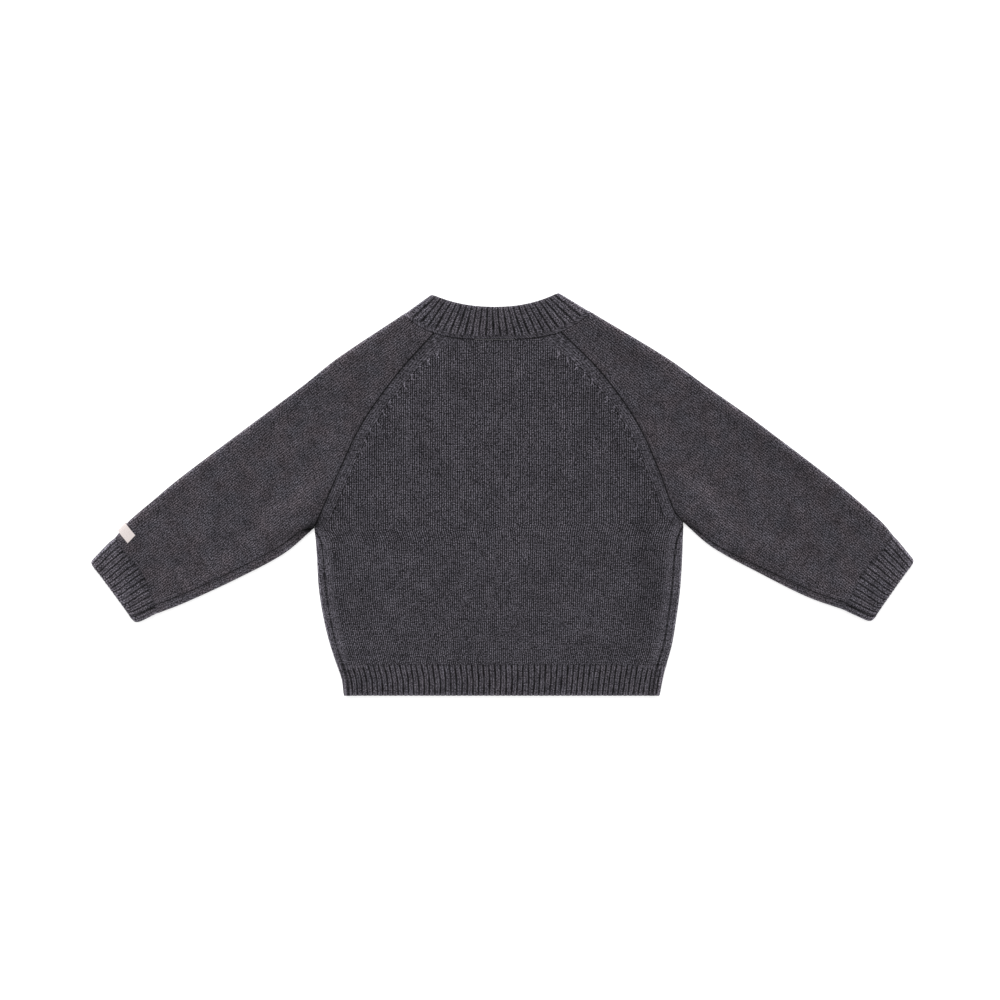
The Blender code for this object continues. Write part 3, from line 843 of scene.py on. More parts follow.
def stitch_group():
    """Height of the yarn, the gap between stitches that gets painted shade, and a random tone for each
    leg.
    """
    tree, w, given, out = new_group(
        "plain knit stitches",
        [("Stitch", "NodeSocketVector", None), ("Climb", "NodeSocketFloat", CLIMB)],
        [("Height", "NodeSocketFloat"), ("Gap", "NodeSocketFloat"), ("Leg", "NodeSocketFloat")],
    )
    wale, course = w.split(given.outputs["Stitch"])
    uneven = w.noise(w.vector(w.times(wale, 0.31), w.times(course, 0.12)), 1.0)
    wale = w.scaled(w.less(uneven, 0.5), WANDER, wale)
    across = w.math("ABSOLUTE", w.less(w.math("FRACT", wale), 0.5))
    climb = w.times(w.times(across, 2.0), given.outputs["Climb"])
    loop = w.less(course, climb)
    side = w.scaled(w.less(0.5, across), LEG_WIDTH, -0.25, clamp=True)
    middle = w.scaled(w.times(across, 11.0, clamp=True), 0.2, 0.8)
    knuckle = w.math("SINE", w.times(w.math("FRACT", loop), math.pi))
    knuckle = w.math("POWER", w.math("MAXIMUM", knuckle, 0.0), KNUCKLE[0])
    knuckle = w.scaled(knuckle, *KNUCKLE[1:])
    height = w.times(w.times(side, middle), knuckle)
    # the gap between legs, where the yarn is low; the wool darkens it as painted shade
    gap = w.less(1.0, w.times(height, GAP_SHARP), clamp=True)
    cell = w.vector(w.math("FLOOR", w.times(wale, 2.0)), w.math("FLOOR", loop))
    leg = w.add("ShaderNodeTexWhiteNoise", noise_dimensions="2D")
    w.feed(leg.inputs["Vector"], cell)
    w.feed(out.inputs["Height"], height)
    w.feed(out.inputs["Gap"], gap)
    w.feed(out.inputs["Leg"], leg.outputs["Value"])
    return tree


STITCHES = stitch_group()
print("node group:", STITCHES.name)

# %% [markdown]
# Marled yarn is spun from dark and pale wool, so its tone changes from leg to leg, over tufts of
# wool, and from fibre to fibre. Three random patterns of those sizes are added up.

# %% The marl group
MIDDLE_TONE = 0.46
LEG_TONE = 0.40  # how much the tone changes from leg to leg,
TUFT_TONE = 2.9  # over tufts of wool,
FIBRE_TONE = 0.6  # and from fibre to fibre


def marl_group():
    """The tone of marled yarn: each leg its own, tufts of paler wool, and single fibres."""
    tree, w, given, out = new_group(
        "marled wool",
        [
            ("Stitch", "NodeSocketVector", None),
            ("Leg", "NodeSocketFloat", 0.5),
            ("Tufts", "NodeSocketFloat", 2.2),
        ],
        [("Tone", "NodeSocketFloat")],
    )
    wale, course = w.split(given.outputs["Stitch"])
    across = w.times(wale, given.outputs["Tufts"])
    tuft = w.noise(w.vector(across, w.times(course, 1.4)), 1.0, 0.0)
    fibre = w.noise(w.vector(w.times(wale, 5.0), w.times(course, 2.2)), 1.0, 3.0)
    tone = w.scaled(w.less(given.outputs["Leg"], 0.5), LEG_TONE, MIDDLE_TONE)
    tone = w.scaled(w.less(tuft, 0.5), TUFT_TONE, tone)
    tone = w.scaled(w.less(fibre, 0.5), FIBRE_TONE, tone, clamp=True)
    w.feed(out.inputs["Tone"], tone)
    return tree


MARLED = marl_group()
print("node group:", MARLED.name)

# %% [markdown]
# Where a panel was narrowed on the machine, a loop was moved over its neighbour every few courses.
# Each time that leaves a small raised arc with a hole beside it, which a knitter calls a
# fashioning mark. From the `seams` map the group draws the arcs, which get a bump and a painted
# highlight, and the holes and the dark line between two arcs, which get painted shade. Each mark is
# a little fainter than the one above it.

# %% The group of fashioning marks
MARK_EVERY = 11.3
MARKS = 17
ARC = 4.2  # the radius of a mark's raised arc
ARC_HALF = 1.15  # and half its width
FAINTER = 0.055  # each mark is that much fainter than the one before it
HOLE = (2.3, 3.1)  # the hole beside it: how far along the seam, and how far past the band
HOLE_SMALL = 0.6  # a higher number makes it smaller
DASH_FROM = 4.6  # from here to the next arc the band ends in a short line of painted shade
DASH_PAINTED_SHADE = 0.6


def mark_group():
    """The raised arcs and the holes beside a seam. The map gives millimetres past the band of
    wales beside the seam, and the place along the seam counted in marks."""
    tree, w, given, out = new_group(
        "fashioning marks",
        [("Seam", "NodeSocketVector", None)],
        [("Knot", "NodeSocketFloat"), ("Hole", "NodeSocketFloat")],
    )
    past, counted = w.split(given.outputs["Seam"])
    x = w.times(w.math("FRACT", counted), MARK_EVERY)
    above = w.less(past, ARC)
    circle = w.math("SQRT", w.plus(w.times(x, x), w.times(above, above)))
    off_arc = w.math("ABSOLUTE", w.less(circle, ARC))
    knot = w.less(1.0, w.math("DIVIDE", off_arc, ARC_HALF), clamp=True)
    ends = w.less(1.0, w.times(above, 0.7), clamp=True)
    on = w.times(w.math("GREATER_THAN", counted, 0.0), w.math("LESS_THAN", counted, MARKS))
    knot = w.times(w.times(knot, ends), on)
    knot = w.times(knot, w.scaled(counted, -FAINTER, 1.0, clamp=True))
    aside, beyond = w.less(x, HOLE[0]), w.less(past, HOLE[1])
    off_hole = w.plus(w.times(aside, aside), w.times(beyond, beyond))
    hole = w.less(1.0, w.times(off_hole, HOLE_SMALL), clamp=True)
    between = w.times(w.less(x, DASH_FROM), 0.8, clamp=True)
    dash = w.less(1.0, w.times(w.math("ABSOLUTE", past), 1.3), clamp=True)
    dash = w.times(w.times(dash, between), DASH_PAINTED_SHADE)
    w.feed(out.inputs["Knot"], knot)
    w.feed(out.inputs["Hole"], w.times(w.math("MAXIMUM", hole, dash), on))
    return tree


FASHIONED = mark_group()
print("node group:", FASHIONED.name)

# %% [markdown]
# ## The finishes
#
# The yarn is a charcoal melange: dark wool with paler fibres spun in, and faintly warmer and
# cooler stretches where the fibres were blended unevenly. Wool is matt, but the fuzz that stands
# off it catches light at the folds. The sheen gives a little of that, and a highlight painted into
# the colour the rest.

# %% Wool
DARK_FIBRE = (0.0113, 0.0103, 0.0128, 1.0)
PALE_FIBRE = (0.1768, 0.1635, 0.1925, 1.0)
WARM = (1.10, 0.985, 0.94, 1.0)
COOL = (0.98, 1.00, 1.01, 1.0)
PATCHES_PER_METRE = 60.0
FUZZ_PER_METRE = 2300.0
CLOUDS_PER_METRE = 95.0
BAND_FAINTER = 0.55  # how much of the gaps' painted shade is left in the wales beside a seam
BAND_SHADE = 0.81  # those wales are darker as a whole
# painted shade in a mark's hole, and a painted highlight on its raised arc
HOLE_PAINTED_SHADE = 0.8
ARC_PAINTED_LIGHT = 1.35
FUZZ_HEIGHT = 0.35  # of the stray fibres, where a stitch is 1
STITCH_HEIGHT = 0.5


def wool(name, shade, cloudy, warmth, gap_painted_shade, tufts):
    """One yarn: its shade, how cloudy and how warm it is, the painted shade in its gaps, and tufts to
    a wale.
    """
    made = bpy.data.materials.new(name)
    made.use_nodes = True
    w = Wiring(made.node_tree)
    shader = made.node_tree.nodes["Principled BSDF"]
    place = w.add("ShaderNodeTexCoord").outputs["Object"]
    stitch = w.add("ShaderNodeUVMap", uv_map="stitches").outputs["UV"]
    painted_shade = w.add("ShaderNodeAttribute", attribute_name="painted_shade").outputs["Fac"]
    knit = w.group(STITCHES, Stitch=stitch, Climb=CLIMB)
    marl = w.group(MARLED, Stitch=stitch, Leg=knit.outputs["Leg"], Tufts=tufts)
    seams = w.add("ShaderNodeUVMap", uv_map="seams").outputs["UV"]
    marks = w.group(FASHIONED, Seam=seams)
    past_band = w.scaled(w.split(seams)[0], 0.6, 1.0, clamp=True)
    clouds = w.noise(place, CLOUDS_PER_METRE, 1.0)
    clouds = w.scaled(clouds, cloudy * shade, (1 - cloudy / 2) * shade)
    clouds = w.times(clouds, w.scaled(past_band, 1 - BAND_SHADE, BAND_SHADE))
    # painted shade in the gaps between stitches, fainter in the band beside a seam
    gap_here = w.scaled(past_band, gap_painted_shade * (BAND_FAINTER - 1), -gap_painted_shade * BAND_FAINTER)
    light = w.scaled(knit.outputs["Gap"], gap_here, 1.0)
    # the mesh's painted shade darkens the colour, and its painted highlight, below zero, lightens it
    lit = w.math("MAXIMUM", w.less(1.0, painted_shade), 0.0)
    light = w.times(w.times(light, lit), clouds)
    # painted shade in the holes, then a painted highlight on the arcs
    light = w.times(light, w.scaled(marks.outputs["Hole"], -HOLE_PAINTED_SHADE, 1.0))
    light = w.scaled(marks.outputs["Knot"], ARC_PAINTED_LIGHT, light)
    patch = w.scaled(w.noise(place, PATCHES_PER_METRE, 2.0), 2.6, -0.8, clamp=True)
    colour = w.blend(marl.outputs["Tone"], DARK_FIBRE, PALE_FIBRE)
    tint = w.blend(w.times(patch, warmth), COOL, WARM)
    colour = w.blend(1.0, colour, tint, "MULTIPLY")
    lit_colour = w.blend(1.0, colour, w.vector(light, light, light), "MULTIPLY")
    w.feed(shader.inputs["Base Color"], lit_colour)
    shader.inputs["Roughness"].default_value = 0.9
    shader.inputs["Specular IOR Level"].default_value = 0.1
    shader.inputs["Sheen Weight"].default_value = 0.05
    shader.inputs["Sheen Roughness"].default_value = 0.55
    shader.inputs["Sheen Tint"].default_value = (0.62, 0.61, 0.66, 1.0)
    fuzz = w.noise(place, FUZZ_PER_METRE, 2.0, 0.6)
    height = w.scaled(fuzz, FUZZ_HEIGHT, knit.outputs["Height"])
    w.bump(shader, w.plus(height, marks.outputs["Knot"]), 0.8, STITCH_HEIGHT)
    return made


JERSEY_WOOL = wool("charcoal_jersey", shade=1.045, cloudy=0.75, warmth=0.15, gap_painted_shade=1.0, tufts=2.2)
SLEEVE_WOOL = wool("charcoal_sleeve", shade=0.81, cloudy=0.85, warmth=0.7, gap_painted_shade=0.65, tufts=2.2)
RIB_WOOL = wool("charcoal_rib", shade=1.07, cloudy=0.7, warmth=0.3, gap_painted_shade=0.66, tufts=3.6)
print("wool:", JERSEY_WOOL.name, SLEEVE_WOOL.name, RIB_WOOL.name)

# %% [markdown]
# The tape is plain woven satin ribbon: close threads across it, a slightly thicker edge, and
# nothing printed or woven on it. Two crossing waves make its threads, which stay sharp at any
# distance, as a picture of a weave would not.

# %% Tape
CREAM_THREAD = (0.74, 0.675, 0.66, 1.0)
# painted shade between the threads
CREAM_SHADE = (0.55, 0.48, 0.46, 1.0)
WEFT = 0.32  # from thread to thread along the tape
WARP = 0.24  # and across it
THREAD_HEIGHT = 0.12


def woven_tape(name):
    made = bpy.data.materials.new(name)
    made.use_nodes = True
    w = Wiring(made.node_tree)
    shader = made.node_tree.nodes["Principled BSDF"]
    across, along_tape = w.split(w.add("ShaderNodeUVMap", uv_map="stitches").outputs["UV"])
    weft = w.math("ABSOLUTE", w.math("SINE", w.times(along_tape, math.pi / WEFT)))
    warp = w.math("ABSOLUTE", w.math("SINE", w.times(across, math.pi / WARP)))
    threads = w.times(w.math("POWER", weft, 0.6), w.scaled(warp, 0.3, 0.7))
    cloud = w.noise(w.add("ShaderNodeTexCoord").outputs["Object"], 420.0, 3.0)
    share = w.times(threads, w.scaled(cloud, 0.5, 0.72), clamp=True)
    w.feed(shader.inputs["Base Color"], w.blend(share, CREAM_SHADE, CREAM_THREAD))
    shader.inputs["Roughness"].default_value = 0.55
    shader.inputs["Sheen Weight"].default_value = 0.1
    w.bump(shader, threads, 0.6, THREAD_HEIGHT)
    return made


TAPE_FINISH = woven_tape("cream_tape")
print("tape:", TAPE_FINISH.name)

# %% [markdown]
# ## Columns and ribs
#
# Beside a seam the columns of a panel stand close together, so that the seam's groove, the ridge
# next to it and the slanting wales have real relief. In a rib every ridge has the same ten columns,
# crowded towards its gully.

# %% Where columns stand
BAND = 10.2  # the wales beside a raglan seam run along it for this width
FINE = 0.55
EDGE = np.concatenate([
    [0.0, 0.12, 0.3, 0.55, 0.85, 1.2],
    np.arange(1.2 + FINE, BAND + 0.2, FINE),
    [11.0, 12.0, 13.2, 14.6, 16.0],
])
BODY_COLUMNS = 126
SLEEVE_COLUMNS = 44


def spread_columns(length, near, far, count):
    """Distances from one end: crowded beside both ends and evenly spread between."""
    middle = np.linspace(near[-1], length - far[-1], count + 2)[1:-1]
    return np.concatenate([near, middle, length - far[::-1]])


def plain_map(cloth):
    return cloth.flat / [WALE, COURSE]


def kept_flat(cloth, relief):
    """The underside stays flat on the table, so nothing is raised there."""
    return np.where(cloth.out[..., 2] < -0.9, np.minimum(relief, 0.0), relief)


print(len(EDGE), "columns beside a seam")

# %% Ribs
RIB_PHASES = np.array([0.0, 0.045, 0.10, 0.19, 0.33, 0.5, 0.67, 0.81, 0.90, 0.955])
RIB_STITCHES = [2.0, 1 / COURSE]  # two wales to a ridge
RIB_DEPTH = 1.25
RIB_SHAPE = 2.7  # a higher power makes broader ridges and narrower gullies
RIB_FADE = 2.2  # how far from the plain knit the gullies reach their full depth


def rib_columns(first, last):
    """Positions counted in ribs, where whole numbers are gullies."""
    inside = np.concatenate([k + RIB_PHASES for k in range(math.floor(first), math.ceil(last))])
    inside = inside[(inside > first + 0.02) & (inside < last - 0.02)]
    return np.concatenate([[first], inside, [last]])


def from_ridge(ribs):
    """0 on top of a ridge and 1 in a gully."""
    return np.clip(np.abs(2 * (ribs % 1.0) - 1), 0, 1)


def rib_profile(ribs):
    """The height: 0 on top of a ridge and -1 in a gully."""
    return (1 - from_ridge(ribs) ** RIB_SHAPE) ** (1 / RIB_SHAPE) - 1


def gully(ribs):
    """How much painted shade a point gets in its gully."""
    return ease(from_ridge(ribs), 0.35, 0.90)


def rib_steps(length):
    """Where rows of a rib stand: crowded at its start and at its free edge."""
    start = [0.0, 0.4, 0.9, 1.5, 2.2, 3.0, 4.0, 5.2, 6.8]
    end = [3.6, 2.2, 1.4, 0.85, 0.45, 0.2, 0.05, 0.0]
    return np.concatenate([start, np.linspace(9.0, length - 5.6, 7), length - np.array(end)])


def rib_row(middle, out, counted, down):
    return Row(middle, out, np.column_stack([counted, np.full(len(counted), down)]))


print(len(RIB_PHASES), "columns to a rib")


# %% Distances over the cloth
def run_along(cloth):
    """The distance along each row from its first column."""
    steps = np.linalg.norm(np.diff(cloth.middle, axis=1), axis=2)
    return np.concatenate([np.zeros((len(steps), 1)), np.cumsum(steps, axis=1)], axis=1)


def run_down(cloth):
    """The distance from the first row along each column."""
    steps = np.linalg.norm(np.diff(cloth.middle, axis=0), axis=2)
    return np.concatenate([np.zeros((1, steps.shape[1])), np.cumsum(steps, axis=0)], axis=0)


def from_ends(cloth):
    """The distance along each row from the nearer of its two ends."""
    run = run_along(cloth)
    return np.minimum(run, run[:, -1:] - run)


print("stitches to a square of 10 cm:", round(100 / WALE), "x", round(100 / COURSE))

# %% [markdown]
# ## The back and the front
#
# Above the arms each row runs straight from raglan seam to raglan seam, and near the neck it bends
# to the neck's curve. Below the arms a row follows the body like a belt, and the front rolls round
# both sides onto the back as far as its side seams. A few rows between the two let the cloth turn
# from lying flat to standing in the fold. A flat sheet could be folded by a simulation, but in
# rows the seams stay where they belong, and relief can be worked out from the distance to them.

# %% Seams of the body
LAST_STRAIGHT = 0.955  # the share of the raglan seam where the last straight row ends
NECK_PULL = 0.13  # up to this share of it the rows keep clear of the neck seam
FIRST_ROWS = [0.0, 0.3, 0.7, 1.2, 2.0]
UPPER_STEP = 1.75
LOWER_ROWS = 65
BRIDGE_ROWS = 5


def raglan_line(arm, points, face):
    return fine_line([face(SEAM_EDGE, points[0]), *points[1:], arm.crotch])


BACK_SEAMS = {arm.name: raglan_line(arm, arm.back_raglan, back_neck) for arm in (LEFT, RIGHT)}
FRONT_SEAMS = {arm.name: raglan_line(arm, arm.front_raglan, front_neck) for arm in (LEFT, RIGHT)}
RAGLAN_LENGTH = length_of(BACK_SEAMS["left"])
UPPER = np.arange(3.0, LAST_STRAIGHT * RAGLAN_LENGTH, UPPER_STEP) / RAGLAN_LENGTH
UPPER = np.concatenate([np.array(FIRST_ROWS) / RAGLAN_LENGTH, UPPER, [LAST_STRAIGHT]])
print("raglan seam:", round(RAGLAN_LENGTH), "mm long,", len(UPPER), "rows beside it")


# %% Rows above the arms
def lean_of(way, seam, k):
    """The sine and the cosine of the angle between a row and a seam where they meet."""
    tangent = unit(seam[min(k + 1, len(seam) - 1)] - seam[max(k - 1, 0)])
    return abs(way[0] * tangent[1] - way[1] * tangent[0]), float(way @ tangent)


def clear_of_neck(points, share):
    return from_neck(points, NECK_SEAM * max(0.0, 1 - share / NECK_PULL))


def bent_to_neck(points, ends, shares, neck_face, share):
    """Points of a straight row, moved towards the neck's curve as far as the row is near it."""
    curve = neck_face(SEAM_EDGE, mix(ends[0][0], ends[1][0], shares))
    points = points + (curve - mix(ends[0], ends[1], shares[:, None])) * (1 - share) ** 2
    return clear_of_neck(points, share)


def upper_rows(seams, neck_face, lay):
    left, right = along(seams["left"], UPPER), along(seams["right"], UPPER)
    rows, leans = [], []
    for k, share in enumerate(UPPER):
        length = np.linalg.norm(right[k] - left[k])
        way = (right[k] - left[k]) / length
        left_lean, right_lean = lean_of(way, left, k), lean_of(-way, right, k)
        distance = spread_columns(length, EDGE / left_lean[0], EDGE / right_lean[0], BODY_COLUMNS)
        points = left[k] + distance[:, None] * way
        points = bent_to_neck(points, (left[0], right[0]), distance / length, neck_face, share)
        rows.append(Row(*lay(points, JERSEY), points))
        leans.append((*left_lean, *right_lean))
    return rows, leans


print("columns in a row of the body:", 2 * len(EDGE) + BODY_COLUMNS)


# %% Rows below the arms
def side_at(side, crotch, y):
    """The outermost point and the roll of one side at a height."""
    line = fine_line([crotch] + [(getattr(row, side), row.y) for row in SIDES])
    heights = [-crotch[1]] + [-row.y for row in SIDES]
    rolls = [0.0] + [getattr(row, side + "_roll") for row in SIDES]
    tip = np.array([np.interp(-y, -line[:, 1], line[:, 0]), y])
    return tip, float(np.interp(-y, heights, rolls))


def sides_at(y):
    higher = RIGHT.crotch[1] - LEFT.crotch[1]
    right_y = y + higher * ramp(y, SIDES[0].y, LEFT.crotch[1])
    return side_at("left", LEFT.crotch, y), side_at("right", RIGHT.crotch, right_y)


def belt_row(y, wall, side, columns):
    """Below the arms: side is 1 for the back and -1 for the front."""
    (left, left_roll), (right, right_roll) = sides_at(y)
    way = unit(right - left)
    starts = [path_to(roll, wall) + side * SEAM for roll in (left_roll, right_roll)]
    length = np.linalg.norm(right - left) + 2 * spare(wall) - side * sum(starts)
    distance = columns(length)
    first = distance < length / 2
    near = beside_fold(left, way, wall, starts[0] + side * distance[first])
    far = beside_fold(right, -way, wall, starts[1] + side * (length - distance[~first]))
    middle, out = np.vstack([near[0], far[0]]), np.vstack([near[1], far[1]])
    return middle, out, distance, length


CROTCHES = np.array([LEFT.crotch, RIGHT.crotch])
PATTERN_WIDTH = np.linalg.norm(CROTCHES[1] - CROTCHES[0]) + 2 * spare(JERSEY) - 2 * SEAM
PATTERN_MIDDLE = CROTCHES[:, 0].mean()


def lower_rows(side):
    """The rows, and how far from each seam the tip of its fold lies."""
    rows, tips_from_seam = [], []
    for y in np.linspace(LEFT.crotch[1], RIB_START + KNIT_ON, LOWER_ROWS):
        middle, out, distance, length = belt_row(
            y, JERSEY, side, lambda length: spread_columns(length, EDGE, EDGE, BODY_COLUMNS)
        )
        wales = PATTERN_MIDDLE + (distance - length / 2) * PATTERN_WIDTH / length
        ends = [tip[1] for tip, _ in sides_at(y)]
        rows.append(Row(middle, out, np.column_stack([wales, mix(*ends, distance / length)])))
        tips_from_seam.append([path_to(roll, JERSEY) - SEAM for _, roll in sides_at(y)])
    return rows, np.array(tips_from_seam)


print("width of the pattern below the arms:", round(PATTERN_WIDTH, 1))

# %% [markdown]
# The fashioning marks are finer than the mesh, so it carries only a soft swelling at each, and the
# shader draws the arcs. What the shader's `seams` map needs is worked out here: the distance past
# the band of wales, and the place along the seam counted in marks.

# %% Marks and wales beside a seam
FIRST_MARK = 7.4
BAND_EDGE = 9.6
BAND_WIDER = 5.2  # at the neck, and less from there on
BAND_FADE = 24.0
WALE_HEIGHT = 0.16


def fashioning(away, place):
    """Millimetres past the band beside a seam, and the place along it counted in marks."""
    past = away - BAND_EDGE - BAND_WIDER * np.exp(-place / BAND_FADE)
    return past, (place - FIRST_MARK) / MARK_EVERY


def wale_ridges(away, reach):
    fade = 1 - ease(away, reach - 1.0, reach + 0.3)
    return WALE_HEIGHT * np.cos(2 * math.pi * (away / WALE - 0.5)) * fade * ease(away, 0.8, 2.0)


print("marks along a seam:", MARKS, "every", MARK_EVERY, "mm")

# %% [markdown]
# A seam pulls the cloth in: the edge itself lies in shade, painted into the colour, a low ridge runs
# beside it, and the wales of the band follow it. Each of these is a bump or a cosine of the
# distance from the seam, which is steadier than sculpting, and the same on both sides.

# %% A panel of the body
SWELLING = 0.3  # of the cloth beside a mark
SEAM_RIDGE = 0.15
SIDE_RIDGE = 0.25
SEAM_DARK = 0.8  # painted shade along a seam: how much of the light it takes, and
SEAM_SHADE = 1.0  # how far that reaches,
SHADE_WIDER = 0.4  # at the neck this much further,
WIDER_FADE = 30.0  # fading down the seam
TOP_DARK = 0.13  # painted shade on the bands near the neck, where they lie lower
TOP_FADE = 28.0
# painted shade along the side seams, and how far it reaches
SIDE_DARK = 0.8
SIDE_SHADE = 0.6
SIDE_PALER = (0.3, 0.16)  # a strip beside each side seam is painted paler
PALE_STRIP = (0.4, 1.3), (5.2, 6.8)
NECK_EDGE_RIDGE = 0.3
# painted shade along the neck seam
NECK_EDGE_DARK = 0.55
NECK_EDGE_SHOWN = (-52, -40), (34, 48)  # the neck seam shows most between these
ROLL_GROOVE = 0.45  # where the front has rolled over, it has a soft groove next to its fold, with painted shade in it
GROOVE_FROM_TIP = 3.5


def body_panel(name, seams, neck_face, lay, side):
    uppers, leans = upper_rows(seams, neck_face, lay)
    lowers, tips_from_seam = lower_rows(side)
    between = bridge(uppers[-1], lowers[0], BRIDGE_ROWS)
    cloth = as_rows(uppers + between + lowers)
    fill = np.linspace(0, 1, BRIDGE_ROWS + 2)[1:-1, None]
    leans = np.array(leans)
    straight = np.array([1.0, 0.0, 1.0, 0.0])
    leans = np.vstack([leans, mix(leans[-1], straight, fill), np.tile(straight, (LOWER_ROWS, 1))])
    below = len(uppers) + BRIDGE_ROWS
    places = np.concatenate([UPPER, np.linspace(LAST_STRAIGHT, 1, BRIDGE_ROWS + 2)[1:-1]])
    places = np.concatenate([places, np.full(LOWER_ROWS, 1.2)])[:, None] * RAGLAN_LENGTH

    run = run_along(cloth)
    runs = run, run[:, -1:] - run
    down = run_down(cloth)
    relief, painted_shade = np.zeros(run.shape), np.zeros(run.shape)
    edge = rounded(down)
    aways, marks = [], []
    for k in (0, 1):
        away = runs[k] * leans[:, 2 * k][:, None]
        past, counted = fashioning(away, places + runs[k] * leans[:, 2 * k + 1][:, None])
        upper = (np.arange(len(away)) < below)[:, None].astype(float)
        from_mark = (counted - np.round(counted)) * MARK_EVERY - 2.6
        swelling = bump(past - 1.5, 1.8) * bump(from_mark, 2.0)
        relief += (wale_ridges(away, BAND) + SWELLING * swelling) * upper
        relief += SEAM_RIDGE * bump(away - 1.8, 1.0)
        relief += SIDE_RIDGE * bump(away - 2.4, 2.2) * (1 - upper)
        reach = mix(SIDE_SHADE, SEAM_SHADE + SHADE_WIDER * np.exp(-places / WIDER_FADE), upper)
        painted_shade += mix(SIDE_DARK, SEAM_DARK, upper) * bump(away, reach)
        painted_shade += TOP_DARK * np.exp(-places / TOP_FADE) * bump(away - 6, 9) * upper
        painted_shade -= SIDE_PALER[k] * within(away, *PALE_STRIP) * (1 - upper)
        edge = np.minimum(edge, rounded(away))
        aways.append(away)
        marks.append(np.stack([past, counted], axis=-1))
    beside = np.where((aways[0] < aways[1])[..., None], *marks)
    relief += NECK_EDGE_RIDGE * bump(down - 1.7, 1.1)
    shown = within(cloth.middle[..., 0], *NECK_EDGE_SHOWN)
    painted_shade += NECK_EDGE_DARK * mix(0.3, 1.0, shown) * bump(down, 1.0)
    if side < 0:
        for away, tips in zip(aways, tips_from_seam.T):
            groove = ROLL_GROOVE * bump(away[below:] - (tips - GROOVE_FROM_TIP)[:, None], 0.9)
            groove *= ease(tips, GROOVE_FROM_TIP, GROOVE_FROM_TIP + 1.5)[:, None]
            relief[below:] -= groove
            painted_shade[below:] += 0.5 * groove

    columns = np.searchsorted(EDGE, BAND + 0.1)
    stitches = plain_map(cloth)
    courses = stitches[..., 1]
    bands = [np.stack([away / WALE, courses], axis=-1) for away in aways]
    patches = [
        everywhere(stitches),
        Patch(slice(0, below), slice(0, columns), bands[0]),
        Patch(slice(0, below), slice(-columns, None), bands[1]),
    ]
    relief = kept_flat(cloth, relief)
    made = shell(
        name, cloth, JERSEY, relief, edge, patches, JERSEY_WOOL, painted_shade=painted_shade, beside=beside
    )
    return made, cloth


# %% The back and the front
BACK, BACK_CLOTH = body_panel("back", BACK_SEAMS, back_neck, on_back, 1)
FRONT, FRONT_CLOTH = body_panel("front", FRONT_SEAMS, front_neck, on_front, -1)

# %% [markdown]
# ## Ribs at the hem
#
# In a two-by-two rib two knit wales stand up and two purl wales sink behind them, so each ridge
# shows two columns of stitches. The gullies start as points where the plain knit ends. The front's
# ribs turn round both sides with it. A bump texture could stand in for ribs, but only real ridges
# shade each other and give the free edge its waves, so each ridge has columns of its own.

# %% Relief of ribs
THICKER = 1.2  # how far the ribs stand above the plain knit
START_DARK = 0.5  # ribs start in a shallow line of painted shade
RIB_UNEVEN = 0.07


def wandering(ribs, down):
    """Hand-washed ribs are never quite straight, and their gullies are not equally deep."""
    moved = ribs + 0.05 * np.sin(ribs * 1.9 + down / 11) + 0.03 * np.sin(ribs * 4.7 - down / 5)
    depth = 1 + 0.2 * np.sin(ribs * 2.9 + down / 3.6) + 0.16 * np.sin(ribs * 5.3 - down / 1.9 + 1.0)
    return moved, depth


def rib_relief(cloth, ribs, down, delay, dark):
    """Relief of ribs and painted shade in their gullies, from flush with the plain knit to their full
    depth.
    """
    ribs, depth = wandering(ribs, down)
    shown = ease(down - delay, 0.0, RIB_FADE)
    sunk = rib_profile(ribs) * shown
    flush = THICKER * (1 - ease(down, 0.0, 5.0)) * np.maximum(cloth.out[..., 2], 0.0)
    relief = RIB_DEPTH * sunk - flush + RIB_UNEVEN * np.sin(ribs * 2.3 + down / 6.0)
    painted_shade = dark * np.minimum(depth, 1.2) * gully(ribs) * shown
    return kept_flat(cloth, relief), painted_shade + START_DARK * bump(down - 0.3, 1.3)


print("depth of a gully:", RIB_DEPTH)

# %% The hem
# painted shade in the hem's gullies
HEM_GULLY = 0.8
HEM_BACK_RIBS = (0.25, 57.75)
HEM_FRONT_RIBS = (0.25, 62.75)
RIB_START_DELAY = 4.0  # beside the side seams the gullies start this much later
CLOSER_AT_SIDES = 0.045
# painted shade along the hem's side seams
HEM_SEAM_DARK = 0.75
FREE_ROUNDING = 1.4
SCALLOP = 0.5  # how far a free edge is drawn in at each gully


def spread_ribs(share):
    """The ribs are pulled together a little towards both sides."""
    return share - CLOSER_AT_SIDES * np.sin(2 * math.pi * share) / (2 * math.pi)


